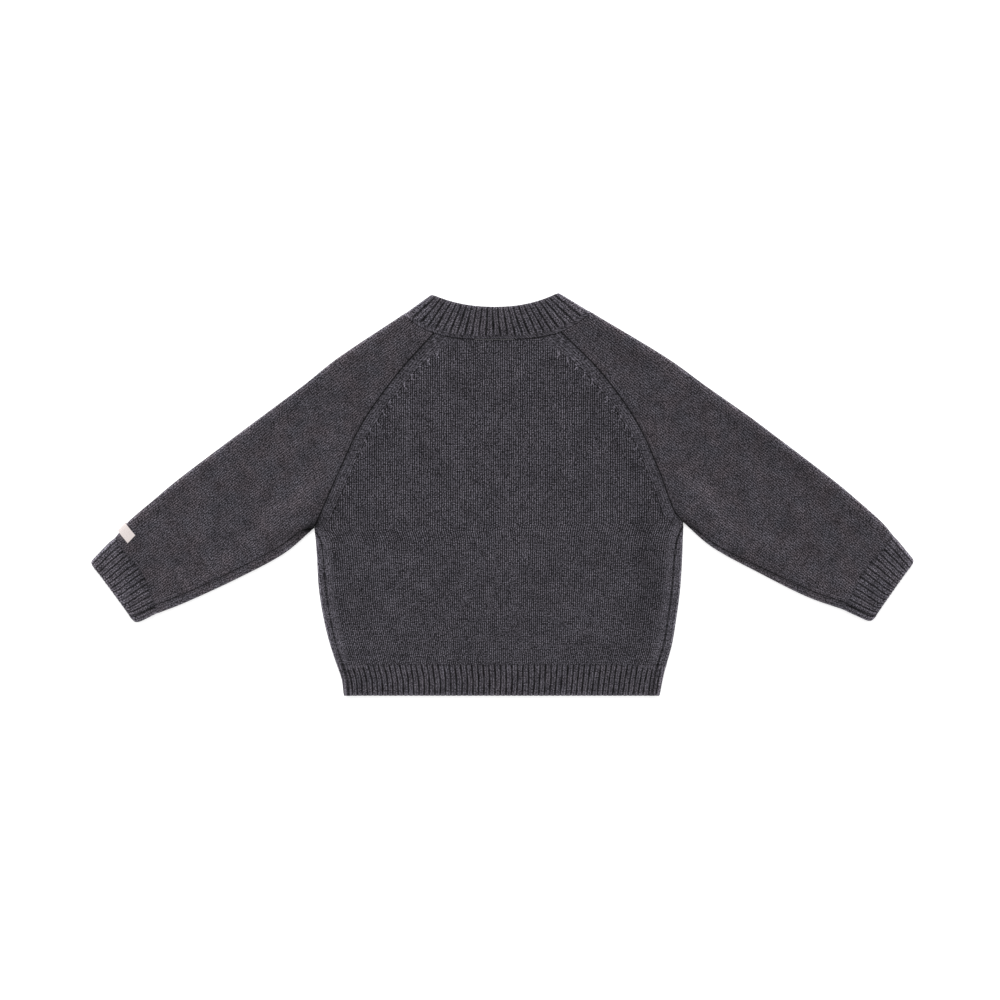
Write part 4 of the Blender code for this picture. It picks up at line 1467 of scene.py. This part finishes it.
def hem(name, side, ribs):
    counted = rib_columns(*ribs)
    steps = rib_steps(RIB_START - KNIT_ON - HEM_END)
    rows = []
    for step in steps:
        middle, out, _, _ = belt_row(
            RIB_START - KNIT_ON - step, RIBBING, side,
            lambda length: spread_ribs((counted - ribs[0]) / (ribs[1] - ribs[0])) * length,
        )
        rows.append(rib_row(middle, out, counted, -step))
    cloth = as_rows(rows)
    down = np.repeat(steps[:, None], len(counted), axis=1)
    from_seam = np.minimum(counted - ribs[0], ribs[1] - counted)
    delay = RIB_START_DELAY * (1 - ease(from_seam, 0, 6))
    relief, painted_shade = rib_relief(cloth, counted, down, delay, HEM_GULLY)
    cloth.middle[..., 1] -= SCALLOP * rib_profile(counted) * ease(down, steps[-1] - 4, steps[-1])
    away = from_ends(cloth)
    to_end = steps[-1] - down
    edge = np.minimum(rounded(away), rounded(to_end, FREE_ROUNDING))
    painted_shade += HEM_SEAM_DARK * bump(away, SIDE_SHADE + 0.2)
    painted_shade -= FREE_EDGE_PAINTED_SHEEN * bump(to_end, FREE_EDGE_SHEEN_REACH)
    patches = [everywhere(cloth.flat * RIB_STITCHES)]
    made = shell(
        name, cloth, RIBBING, relief, edge, patches, RIB_WOOL, inner_share=0.4, painted_shade=painted_shade
    )
    return made, cloth


HEM_BACK, HEM_BACK_CLOTH = hem("hem_back", 1, HEM_BACK_RIBS)
HEM_FRONT, HEM_FRONT_CLOTH = hem("hem_front", -1, HEM_FRONT_RIBS)

# %% [markdown]
# ## The sleeves
#
# A sleeve is a flattened tube: its one seam is rolled up onto the back along the lower fold. Above
# the armpit it is open, and its two edges run up beside the body's to the neck. The wales follow
# the arm, not the rows of the mesh, so each point's place on the pattern is measured in a frame
# that is turned to the arm, and the tube is unrolled from its upper fold. A squashed cylinder
# would be quicker, but it has no open top, and its wales would cross the raglan seams wrongly.

# %% The sleeve above the armpit
ARM_TILT = math.radians(37.5)
TURN = np.linspace(1, -1, 9)  # columns round a fold, from the back's side to the front's

Frame = namedtuple("Frame", "origin down across")  # of the sleeve's pattern


def frame_of(arm):
    outwards = math.copysign(1, arm.crotch[0])
    down = np.array([outwards * math.cos(ARM_TILT), -math.sin(ARM_TILT)])
    across = np.array([-outwards * math.sin(ARM_TILT), -math.cos(ARM_TILT)])
    return Frame(np.array(arm.top[2]), down, across)


def cuff_way(arm):
    ends = np.array(arm.cuff_top) + arm.cuff_under
    return unit(ends - arm.top[-1] - arm.under[-1])


def cap_half(seam, tip, k, share, neck_face, ends):
    """Points from the seam to the upper fold, and the row's lean against the seam."""
    run = tip[k] - seam[k]
    length = np.linalg.norm(run)
    lean = lean_of(run / length, seam, k)
    distance = spread_columns(length, EDGE / lean[0], np.array([fold_depth(JERSEY)]), SLEEVE_COLUMNS)
    points = seam[k] + distance[:, None] * run / length
    return bent_to_neck(points, ends, distance / length, neck_face, share), lean


def cap_rows(arm, frame):
    backs, fronts = along(BACK_SEAMS[arm.name], UPPER), along(FRONT_SEAMS[arm.name], UPPER)
    tips = smooth_line(arm.top[: SHOULDER + 1], UPPER)
    rows, leans = [], []
    for k, share in enumerate(UPPER):
        back, lean = cap_half(backs, tips, k, share, back_neck, (backs[0], tips[0]))
        front, front_lean = cap_half(fronts, tips, k, share, front_neck, (fronts[0], tips[0]))
        front = front[::-1]
        tip = clear_of_neck(tips[k], share)
        turn = TURN * quarter(JERSEY)
        turned = round_fold(tip, back[-1] - tip, front[0] - tip, JERSEY, turn)
        parts = [on_back(back[:-1], JERSEY), turned, on_front(front[1:], JERSEY)]
        middle, out = (np.vstack(part) for part in zip(*parts))
        tip_across, tip_down = (tip - frame.origin) @ frame.across, (tip - frame.origin) @ frame.down
        plan = [(points - frame.origin) for points in (back[:-1], front[1:])]
        across = np.concatenate([
            plan[0] @ frame.across + spare(JERSEY),
            tip_across + turn,
            2 * tip_across - plan[1] @ frame.across - spare(JERSEY),
        ])
        down = np.concatenate([plan[0] @ frame.down, tip_down + 0 * turn, plan[1] @ frame.down])
        rows.append(Row(middle, out, np.column_stack([across, -down])))
        leans.append((*lean, *front_lean))
    return rows, leans


print("columns in a row of a sleeve:", 2 * (len(EDGE) + SLEEVE_COLUMNS) + len(TURN))

# %% The tube of the arm
ARM_ROWS = 84
RIB_LINE_FROM = 0.72  # from this share of the arm on, the rows bend to the wavy start of the cuff
START_CLEAR = 0.1  # up to this share of it, the arm keeps clear of the body


def tube_row(top, under, wall, path):
    """Points this length round the arm from its upper fold: over the back if positive."""
    span = np.linalg.norm(top - under) + 2 * spare(wall)
    way = unit(under - top)
    near = np.abs(path) < span / 2
    middle, out = np.empty((len(path), 3)), np.empty((len(path), 3))
    middle[near], out[near] = beside_fold(top, way, wall, path[near])
    rest = path[~near]
    middle[~near], out[~near] = beside_fold(under, -way, wall, np.sign(rest) * (span - np.abs(rest)))
    return middle, out


def seams_of_tube(top, under, roll, wall):
    """How far over the back, and how far under the front, the tube's two edges lie."""
    span = np.linalg.norm(top - under) + 2 * spare(wall)
    return span - path_to(roll, wall) - SEAM, span + path_to(roll, wall) - SEAM


def to_rib_line(arm, middle, top, under, strength):
    """Moves points along the arm, so that the plain knit ends and the ribs start on one wavy line."""
    run = under - top
    fold = fold_depth(RIBBING) / np.linalg.norm(run)
    share = np.clip((middle[:, :2] - top) @ run / (run @ run), fold, 1 - fold)
    line = fine_line(arm.rib_line)
    middle[:, :2] -= cuff_way(arm) * (np.interp(share, line[:, 0], line[:, 1]) * strength)[:, None]


def arm_rows(arm, frame):
    shares = np.linspace(0, 1, ARM_ROWS)
    tops, unders = smooth_line(arm.top[SHOULDER:], shares), smooth_line(arm.under, shares)
    way = cuff_way(arm)
    rows = []
    for share, top, under in zip(shares, tops, unders):
        outwards = math.copysign(SEAM * max(0.0, 1 - share / START_CLEAR), arm.crotch[0])
        top, under = top - way * KNIT_ON * share, under - way * KNIT_ON * share + [outwards, 0.0]
        roll = np.interp(share, *zip(*arm.roll))
        back, front = seams_of_tube(top, under, roll, JERSEY)
        turn = np.array([quarter(JERSEY)])
        over = back - spread_columns(back, EDGE, turn, SLEEVE_COLUMNS)
        beneath = front - spread_columns(front, EDGE, turn, SLEEVE_COLUMNS)
        path = np.concatenate([over[:-1], TURN * quarter(JERSEY), -beneath[::-1][1:]])
        middle, out = tube_row(top, under, JERSEY, path)
        to_rib_line(arm, middle, top, under, ramp(share, RIB_LINE_FROM, 1.0))
        ahead = unit(under - top)
        across = (top - frame.origin) @ frame.across + path * (ahead @ frame.across)
        down = (top - frame.origin) @ frame.down + np.abs(path) * (ahead @ frame.down)
        rows.append(Row(middle, out, np.column_stack([across, -down])))
    return rows


print("sleeve rows:", len(UPPER) + BRIDGE_ROWS + ARM_ROWS)

# %% A whole sleeve
SLEEVE_BAND = 4.6
UNDERARM_DARK = (0.3, 1.3)  # painted shade at the sleeve's own seam: how much light it takes, and how far
UNDERARM_VALLEY = 0.3
# painted light on the left sleeve, and painted shade on the right one
SLEEVE_PAINTED_LIGHT = {"left": 0.045, "right": -0.02}
AT_NECK = {"left": 0.1, "right": -0.3}  # painted shade at the neck seam on the left sleeve; on the right shoulder the seam hardly shows, and a strip is painted paler
UNDER_PALER = 0.12  # towards the cuff a strip beside the sleeve's own seam is painted paler
UNDER_STRIP = (1, 2), (7, 9.5)


def sleeve(arm):
    frame = frame_of(arm)
    caps, leans = cap_rows(arm, frame)
    arms = arm_rows(arm, frame)
    cloth = as_rows(caps + bridge(caps[-1], arms[0], BRIDGE_ROWS) + arms)
    sines = np.array([(back, front) for back, _, front, _ in leans])
    fill = np.linspace(0, 1, BRIDGE_ROWS + 2)[1:-1, None]
    sines = np.vstack([sines, mix(sines[-1], np.ones(2), fill), np.ones((ARM_ROWS, 2))])
    run, down = run_along(cloth), run_down(cloth)
    aways = [run * sines[:, :1], (run[:, -1:] - run) * sines[:, 1:]]
    past_armpit = np.arange(len(run))[:, None] - len(caps)
    on_arm = ease(past_armpit, 0, 10)
    to_cuff = ease(past_armpit, 0.3 * ARM_ROWS, 0.7 * ARM_ROWS)
    relief, painted_shade = NECK_EDGE_RIDGE * bump(down - 1.7, 1.1), AT_NECK[arm.name] * bump(down, 0.8)
    painted_shade -= SLEEVE_PAINTED_LIGHT[arm.name]
    edge = rounded(down)
    for away in aways:
        painted_shade -= UNDER_PALER * within(away, *UNDER_STRIP) * to_cuff
        relief += SEAM_RIDGE * bump(away - 1.8, 1.0) + wale_ridges(away, SLEEVE_BAND)
        painted_shade += SEAM_DARK * bump(away, SEAM_SHADE) * (1 - on_arm)
        painted_shade += UNDERARM_DARK[0] * bump(away, UNDERARM_DARK[1]) * on_arm
        edge = np.minimum(edge, rounded(away))
    relief -= UNDERARM_VALLEY * bump(aways[0] - 3.5, 2.6) * on_arm
    relief = kept_flat(cloth, relief)
    columns = np.searchsorted(EDGE, SLEEVE_BAND)
    stitches = plain_map(cloth)
    bands = [np.stack([away / WALE, stitches[..., 1]], axis=-1) for away in aways]
    past = np.minimum(*aways) - SLEEVE_BAND
    beside = np.stack([past, np.full(past.shape, NO_MARKS[1])], axis=-1)
    patches = [
        everywhere(stitches),
        Patch(slice(None), slice(0, columns), bands[0]),
        Patch(slice(None), slice(-columns, None), bands[1]),
    ]
    made = shell(
        f"arm_{arm.name}", cloth, JERSEY, relief, edge, patches, SLEEVE_WOOL,
        painted_shade=painted_shade, beside=beside,
    )
    return made, cloth


SLEEVES = {arm.name: sleeve(arm) for arm in (LEFT, RIGHT)}

# %% [markdown]
# ## The cuffs
#
# The cuff goes on round the arm in ribs. Where it starts it follows the sleeve's wavy end, and its
# free edge is drawn in a little at each gully. Repeating one rib with an array would keep all of
# them equally long, but this cuff is deeper at its upper fold, so its rows are worked out.

# %% Two cuffs
# painted shade in the cuffs' gullies and along their seams; the cuffs are also painted paler, the left
# one more
CUFF_GULLY = 0.66
CUFF_PALER = {"left": 0.22, "right": 0.09}
CUFF_SEAM_DARK = 0.3
CUFF_BACK_RIBS = 13.5
CUFF_FRONT_RIBS = 14.5
TOP_CORNER = 3.0
UNDER_CORNER = 5.0
FULLER = {"left": 0.8, "right": 0.3}  # how far the upper fold of the ribs stands out
END_BULGE = (0.6, 1.5)  # the free edge bows outwards, more towards the lower fold


def corner_inset(to_end, radius):
    """How far a fold draws in near the free edge, so that the corner is round."""
    short = max(radius - to_end, 0.0)
    return radius - math.sqrt(radius**2 - short**2)


def cuff(arm):
    first_rib = 0.25
    fold_rib = first_rib + CUFF_BACK_RIBS
    counted = rib_columns(first_rib, fold_rib + CUFF_FRONT_RIBS)
    top, cuff_top = np.array(arm.top[-1]), np.array(arm.cuff_top)
    under, cuff_under = np.array(arm.under[-1]), np.array(arm.cuff_under)
    length = (np.linalg.norm(cuff_top - top) + np.linalg.norm(cuff_under - under)) / 2
    steps = rib_steps(length)
    way = cuff_way(arm)
    rows = []
    for step in steps:
        share = step / length
        a = mix(top, cuff_top, share) + way * KNIT_ON * (1 - share)
        b = mix(under, cuff_under, share) + way * KNIT_ON * (1 - share)
        ahead = unit(b - a)
        fuller = FULLER[arm.name] * ease(step, 0, 8)
        a = a + ahead * (corner_inset(length - step, TOP_CORNER) - fuller)
        b = b - ahead * corner_inset(length - step, UNDER_CORNER)
        back, front = seams_of_tube(a, b, arm.roll[-1][1], RIBBING)
        over = (fold_rib - counted) / CUFF_BACK_RIBS * back
        beneath = (fold_rib - counted) / CUFF_FRONT_RIBS * front
        path = np.where(counted < fold_rib, over, beneath)
        middle, out = tube_row(a, b, RIBBING, path)
        to_rib_line(arm, middle, a, b, 1 - share)
        rows.append(rib_row(middle, out, counted, -step))
    cloth = as_rows(rows)
    down = np.repeat(steps[:, None], len(counted), axis=1)
    relief, painted_shade = rib_relief(cloth, counted, down, 0.0, CUFF_GULLY)
    painted_shade -= CUFF_PALER[arm.name] * ease(down, 2, 8)
    across = unit(cuff_under - cuff_top)
    share = (cloth.middle[..., :2] - cuff_top) @ across / np.linalg.norm(cuff_under - cuff_top)
    bulge = END_BULGE[0] + END_BULGE[1] * np.clip(share, 0, 1) ** 2
    drawn = (SCALLOP * rib_profile(counted) + bulge) * ease(down, length - 5, length)
    cloth.middle[..., :2] += drawn[..., None] * way
    away = from_ends(cloth)
    to_end = length - down
    edge = np.minimum(rounded(away), rounded(to_end, FREE_ROUNDING))
    painted_shade += CUFF_SEAM_DARK * bump(away, 0.9) - FREE_EDGE_PAINTED_SHEEN * bump(to_end, FREE_EDGE_SHEEN_REACH)
    patches = [everywhere(cloth.flat * RIB_STITCHES)]
    made = shell(
        f"wrist_{arm.name}", cloth, RIBBING, relief, edge, patches, RIB_WOOL,
        inner_share=0.4, painted_shade=painted_shade,
    )
    return made, cloth


CUFFS = {arm.name: cuff(arm) for arm in (LEFT, RIGHT)}

# %% [markdown]
# ## The neckband
#
# The band is one closed ring. Its ribs keep their places across the neck, so they spread towards
# the seam like a fan. Where it was linked to the body a thin cord of stitches runs round it, and
# the ridges fade into that. A bevelled curve would give a band, but not one that lies flat and
# turns over two folds, so it is built in rows between its two edges like the other pieces.

# %% Rows of the ring
NECK_BACK_RIBS = 25
NECK_FRONT_RIBS = 28
RIB_ON_FOLD = 7.0  # the width of a rib where it turns round the fold


def band_point(face, share, place):
    points = [face(edge, mix(edge.left[0], edge.right[0], place)) for edge in (SEAM_EDGE, FREE_EDGE)]
    return from_neck(mix(*points, share), -NECK_SEAM * max(0.0, 1 - share / 0.2))


def along_front(shares):
    """Places on the front, evenly spaced along its curve."""
    places = (1 - np.cos(np.linspace(0, math.pi, 200))) / 2
    curve = front_neck(SEAM_EDGE, mix(SEAM_EDGE.left[0], SEAM_EDGE.right[0], places))
    steps = np.linalg.norm(np.diff(curve, axis=0), axis=1)
    lengths = np.concatenate([[0.0], np.cumsum(steps)])
    return np.interp(shares * lengths[-1], lengths, places)


def neckband_row(share, counted):
    left, right = (band_point(back_neck, share, np.array([end]))[0] for end in (0.0, 1.0))
    width = np.linalg.norm(right - left)
    near = fold_depth(RIBBING) / width
    turn = quarter(RIBBING)
    total = width + 2 * spare(RIBBING)
    middle, out = np.empty((len(counted), 3)), np.empty((len(counted), 3))

    on_top = counted <= NECK_BACK_RIBS
    path = np.where(on_top, counted / NECK_BACK_RIBS * total, 0.0)
    under = (counted - NECK_BACK_RIBS) / NECK_FRONT_RIBS
    corner = turn / RIB_ON_FOLD / NECK_FRONT_RIBS
    inside = ~on_top & (under > corner) & (under < 1 - corner)
    flat_back = on_top & (path > turn) & (path < total - turn)
    places = (path[flat_back] - spare(RIBBING)) / width
    middle[flat_back], out[flat_back] = on_back(band_point(back_neck, share, places), RIBBING)
    places = mix(1 - near, near, (under[inside] - corner) / (1 - 2 * corner))
    places = mix(places, along_front(places), 0.9 * np.sin(places * math.pi) ** 0.5)
    middle[inside], out[inside] = on_front(band_point(front_neck, share, places), RIBBING)

    for tip, end in ((left, 0.0), (right, 1.0)):
        ways = [
            band_point(face, share, np.array([abs(end - near)]))[0] - tip
            for face in (back_neck, front_neck)
        ]
        over = path if end == 0 else total - path
        beneath = (1 - under if end == 0 else under) / corner * turn
        here = (on_top & (over <= turn)) | (~on_top & (beneath <= turn))
        round_path = np.where(on_top, over, -beneath)[here]
        middle[here], out[here] = round_fold(tip, *ways, RIBBING, round_path)
    return middle, out


print("ribs round the neck:", NECK_BACK_RIBS + NECK_FRONT_RIBS)

# %% The neckband
CORD = 3.0  # the width of the cord of stitches
CORD_RIDGE = 0.1
CORD_GROOVE = 0.35
CORD_DARK = (0.1, 0.24)  # how much darker the cord is painted: at the least, and how much more behind the neck
BAND_SEAM_DARK = (0.1, 0.45)  # the seam's line of painted shade: on the shoulders, and behind the neck
BEHIND = (-72, -46), (40, 62)
RIGHT_SHOULDER = (50, 66)
NECK_THICKER = 0.7  # how far the band stands above the plain knit
# painted shade in the neckband's gullies
NECK_GULLY = 0.76
NECK_PALER = 0.06


def neckband():
    counted = rib_columns(0, NECK_BACK_RIBS + NECK_FRONT_RIBS)
    length = FREE_EDGE.back.lowest - SEAM_EDGE.back.lowest
    steps = rib_steps(length)
    cloth = as_rows([
        rib_row(*neckband_row(step / length, counted), counted, step) for step in steps
    ])
    down = np.repeat(steps[:, None], len(counted), axis=1)
    shown = ease(down, CORD - 0.8, CORD + 2.5)
    moved, depth = wandering(counted, down)
    relief = RIB_DEPTH * rib_profile(moved) * shown
    relief += CORD_RIDGE * bump(down - 1.4, 0.9) - CORD_GROOVE * bump(down - CORD, 0.7)
    relief -= NECK_THICKER * (1 - ease(down, 0.0, 5.0)) * np.maximum(cloth.out[..., 2], 0.0)
    x = cloth.middle[..., 0]
    behind, on_right = within(x, *BEHIND), ease(x, *RIGHT_SHOULDER)
    seam_shows = mix(*BAND_SEAM_DARK, behind) * (1 - on_right)
    cord_dark = CORD_DARK[0] + CORD_DARK[1] * np.maximum(behind, on_right)
    painted_shade = NECK_GULLY * np.minimum(depth, 1.2) * gully(moved) * shown
    painted_shade += cord_dark * (1 - shown) + seam_shows * bump(down, 0.8)
    painted_shade -= FREE_EDGE_PAINTED_SHEEN * bump(length - down, FREE_EDGE_SHEEN_REACH) + NECK_PALER
    relief = kept_flat(cloth, relief)
    edge = np.minimum(rounded(down), rounded(length - down, FREE_ROUNDING))
    cord = slice(0, int(np.searchsorted(steps, CORD)))
    slanted = np.stack([counted * 3.0 + down / 2.4, down / CORD + 0.3], axis=-1)
    patches = [everywhere(cloth.flat * RIB_STITCHES), Patch(cord, slice(None), slanted)]
    made = shell(
        "neck_ribs", cloth, RIBBING, relief, edge, patches, RIB_WOOL,
        ring=True, inner_share=0.4, painted_shade=painted_shade,
    )
    return made, cloth


NECKBAND, NECKBAND_CLOTH = neckband()

# %% [markdown]
# ## The woven tape
#
# The tape is folded in half over the sleeve's upper edge and sewn down. A thin box could be bent
# round it. Here the tape uses the sleeve's own fold, moved outwards, so it keeps a little clear of
# the knit all round.

# %% The tape
TAPE_ROWS = 9


def tape():
    fold, way, into = (np.array(part) for part in (LABEL.fold, LABEL.along, LABEL.into))
    clear = JERSEY / 2 + LABEL_GAP + TAPE / 2
    past = np.linspace(LABEL.reach - fold_depth(JERSEY), 0, 12)[:-1] + quarter(JERSEY)
    path = np.concatenate([past, np.linspace(1, -1, 17) * quarter(JERSEY), -past[::-1]])
    rows = []
    for place in np.linspace(-0.5, 0.5, TAPE_ROWS):
        middle, out = beside_fold(fold + way * LABEL.width * place, into, JERSEY, path)
        across = np.full(len(path), place * LABEL.width)
        rows.append(Row(middle + out * clear, out, np.column_stack([across, path])))
    cloth = as_rows(rows)
    across = np.abs(cloth.flat[..., 0])
    end = np.abs(cloth.flat[..., 1]).max() - np.abs(cloth.flat[..., 1])
    relief = 0.06 * ease(across, LABEL.width / 2 - 1.4, LABEL.width / 2 - 0.6)
    edge = np.minimum(rounded(LABEL.width / 2 - across, 0.2), rounded(end, 0.2))
    patches = [everywhere(cloth.flat)]
    made = shell("tape", cloth, TAPE, relief, edge, patches, TAPE_FINISH)
    return made, cloth


TAPE_PIECE, TAPE_CLOTH = tape()

# %% [markdown]
# ## What each shell stands for
#
# Each shell takes the place of one solid of the imported model, which is hidden. Each is also a
# sheet of cloth, so its flat size is worked out and printed: the sides of its pattern, and the area
# of the knit itself, which the pattern's rectangle is larger than.

# %% Hidden solids and flat sizes
MADE = [
    (BACK, BACK_CLOTH, "back_panel", "jersey", ["front_panel"]),
    (FRONT, FRONT_CLOTH, "front_panel", "jersey", ["table"]),
    (HEM_BACK, HEM_BACK_CLOTH, "hem_rib_back", "rib", ["hem_rib_front"]),
    (HEM_FRONT, HEM_FRONT_CLOTH, "hem_rib_front", "rib", ["table"]),
    (*SLEEVES["left"], "sleeve_left", "jersey", ["table"]),
    (*SLEEVES["right"], "sleeve_right", "jersey", ["table"]),
    (*CUFFS["left"], "cuff_left", "rib", ["table"]),
    (*CUFFS["right"], "cuff_right", "rib", ["table"]),
    (NECKBAND, NECKBAND_CLOTH, "neckband", "rib", ["table"]),
    (TAPE_PIECE, TAPE_CLOTH, "wrist_label", "tape", ["sleeve_left"]),
]


def flat_size(cloth, slot):
    """The pattern's sides in metres. Ribs are counted, so their width is the longest row."""
    sides = np.ptp(cloth.flat.reshape(-1, 2), axis=0)
    if slot == "rib":
        sides[0] = run_along(cloth)[:, -1].max()
    return sides * MM


for made, cloth, node, slot, rests_on in MADE:
    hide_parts(node)
    width, length = flat_size(cloth, slot)
    area = min(cut_area(cloth), width * length)
    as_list(rests_on)
    print(f"{node}: {width:.3f} x {length:.3f} m, {area * 1e4:.0f} cm2 of knit")

# %% [markdown]
# ## Table, light and camera
#
# The table is plain and pale. The light is soft: it comes from all round, and a little more of it
# from beyond the neck, so that the folds facing it are brighter. The camera hangs straight above.

# %% The table
GLOW = 0.5  # the table is lit from within a little, so that shadows on it stay faint
TABLE_HALF = 3.0  # metres
TABLE_HEIGHT = -0.0003  # just below the cloth, so that the two never share a face


def table():
    made = bpy.data.materials.new("white_table")
    made.use_nodes = True
    shader = made.node_tree.nodes["Principled BSDF"]
    shader.inputs["Base Color"].default_value = (0.9, 0.9, 0.9, 1.0)
    shader.inputs["Emission Color"].default_value = (1.0, 1.0, 1.0, 1.0)
    shader.inputs["Emission Strength"].default_value = GLOW
    shader.inputs["Roughness"].default_value = 0.9
    shader.inputs["Specular IOR Level"].default_value = 0.1
    corners = [(x * TABLE_HALF, y * TABLE_HALF) for x, y in ((-1, -1), (1, -1), (1, 1), (-1, 1))]
    mesh = bpy.data.meshes.new("table")
    mesh.from_pydata([(x, y, TABLE_HEIGHT) for x, y in corners], [], [(0, 1, 2, 3)])
    floor = bpy.data.objects.new("table", mesh)
    floor.data.materials.append(made)
    bpy.context.scene.collection.objects.link(floor)
    return floor


TABLE = table()
print("table:", TABLE.name)

# %% Light
ALL_ROUND = 0.72
KEY_WATTS = 930.0
KEY_AT = (-0.8, 7.4, 8.6)
KEY_SIZE = 4.8


def look_at(item, target):
    way = np.array(target) - np.array(item.location)
    flat = math.hypot(way[0], way[1])
    item.rotation_euler = (math.atan2(flat, -way[2]), 0.0, math.atan2(-way[0], way[1]))


world = bpy.data.worlds.new("studio")
bpy.context.scene.world = world
world.use_nodes = True
world.node_tree.nodes["Background"].inputs["Color"].default_value = (1.0, 1.0, 1.0, 1.0)
world.node_tree.nodes["Background"].inputs["Strength"].default_value = ALL_ROUND
lamp = bpy.data.lights.new("window", "AREA")
lamp.energy = KEY_WATTS
lamp.size = KEY_SIZE
window = bpy.data.objects.new("window", lamp)
window.location = KEY_AT
look_at(window, (0.0, 0.0, 0.0))
bpy.context.scene.collection.objects.link(window)
bpy.context.scene.view_settings.view_transform = "Standard"
print("light from all round:", ALL_ROUND, "and watts from the window:", KEY_WATTS)

# %% Camera
FOCAL = 100.0
CAMERA_AT = (-0.0024, -0.0052, 2.646)
lens = bpy.data.cameras.new("overhead")
lens.lens = FOCAL
lens.sensor_width = 36.0
lens.clip_end = 20.0
camera = bpy.data.objects.new("overhead", lens)
camera.location = CAMERA_AT
bpy.context.scene.collection.objects.link(camera)
bpy.context.scene.camera = camera
print("camera height in metres:", camera.location.z)
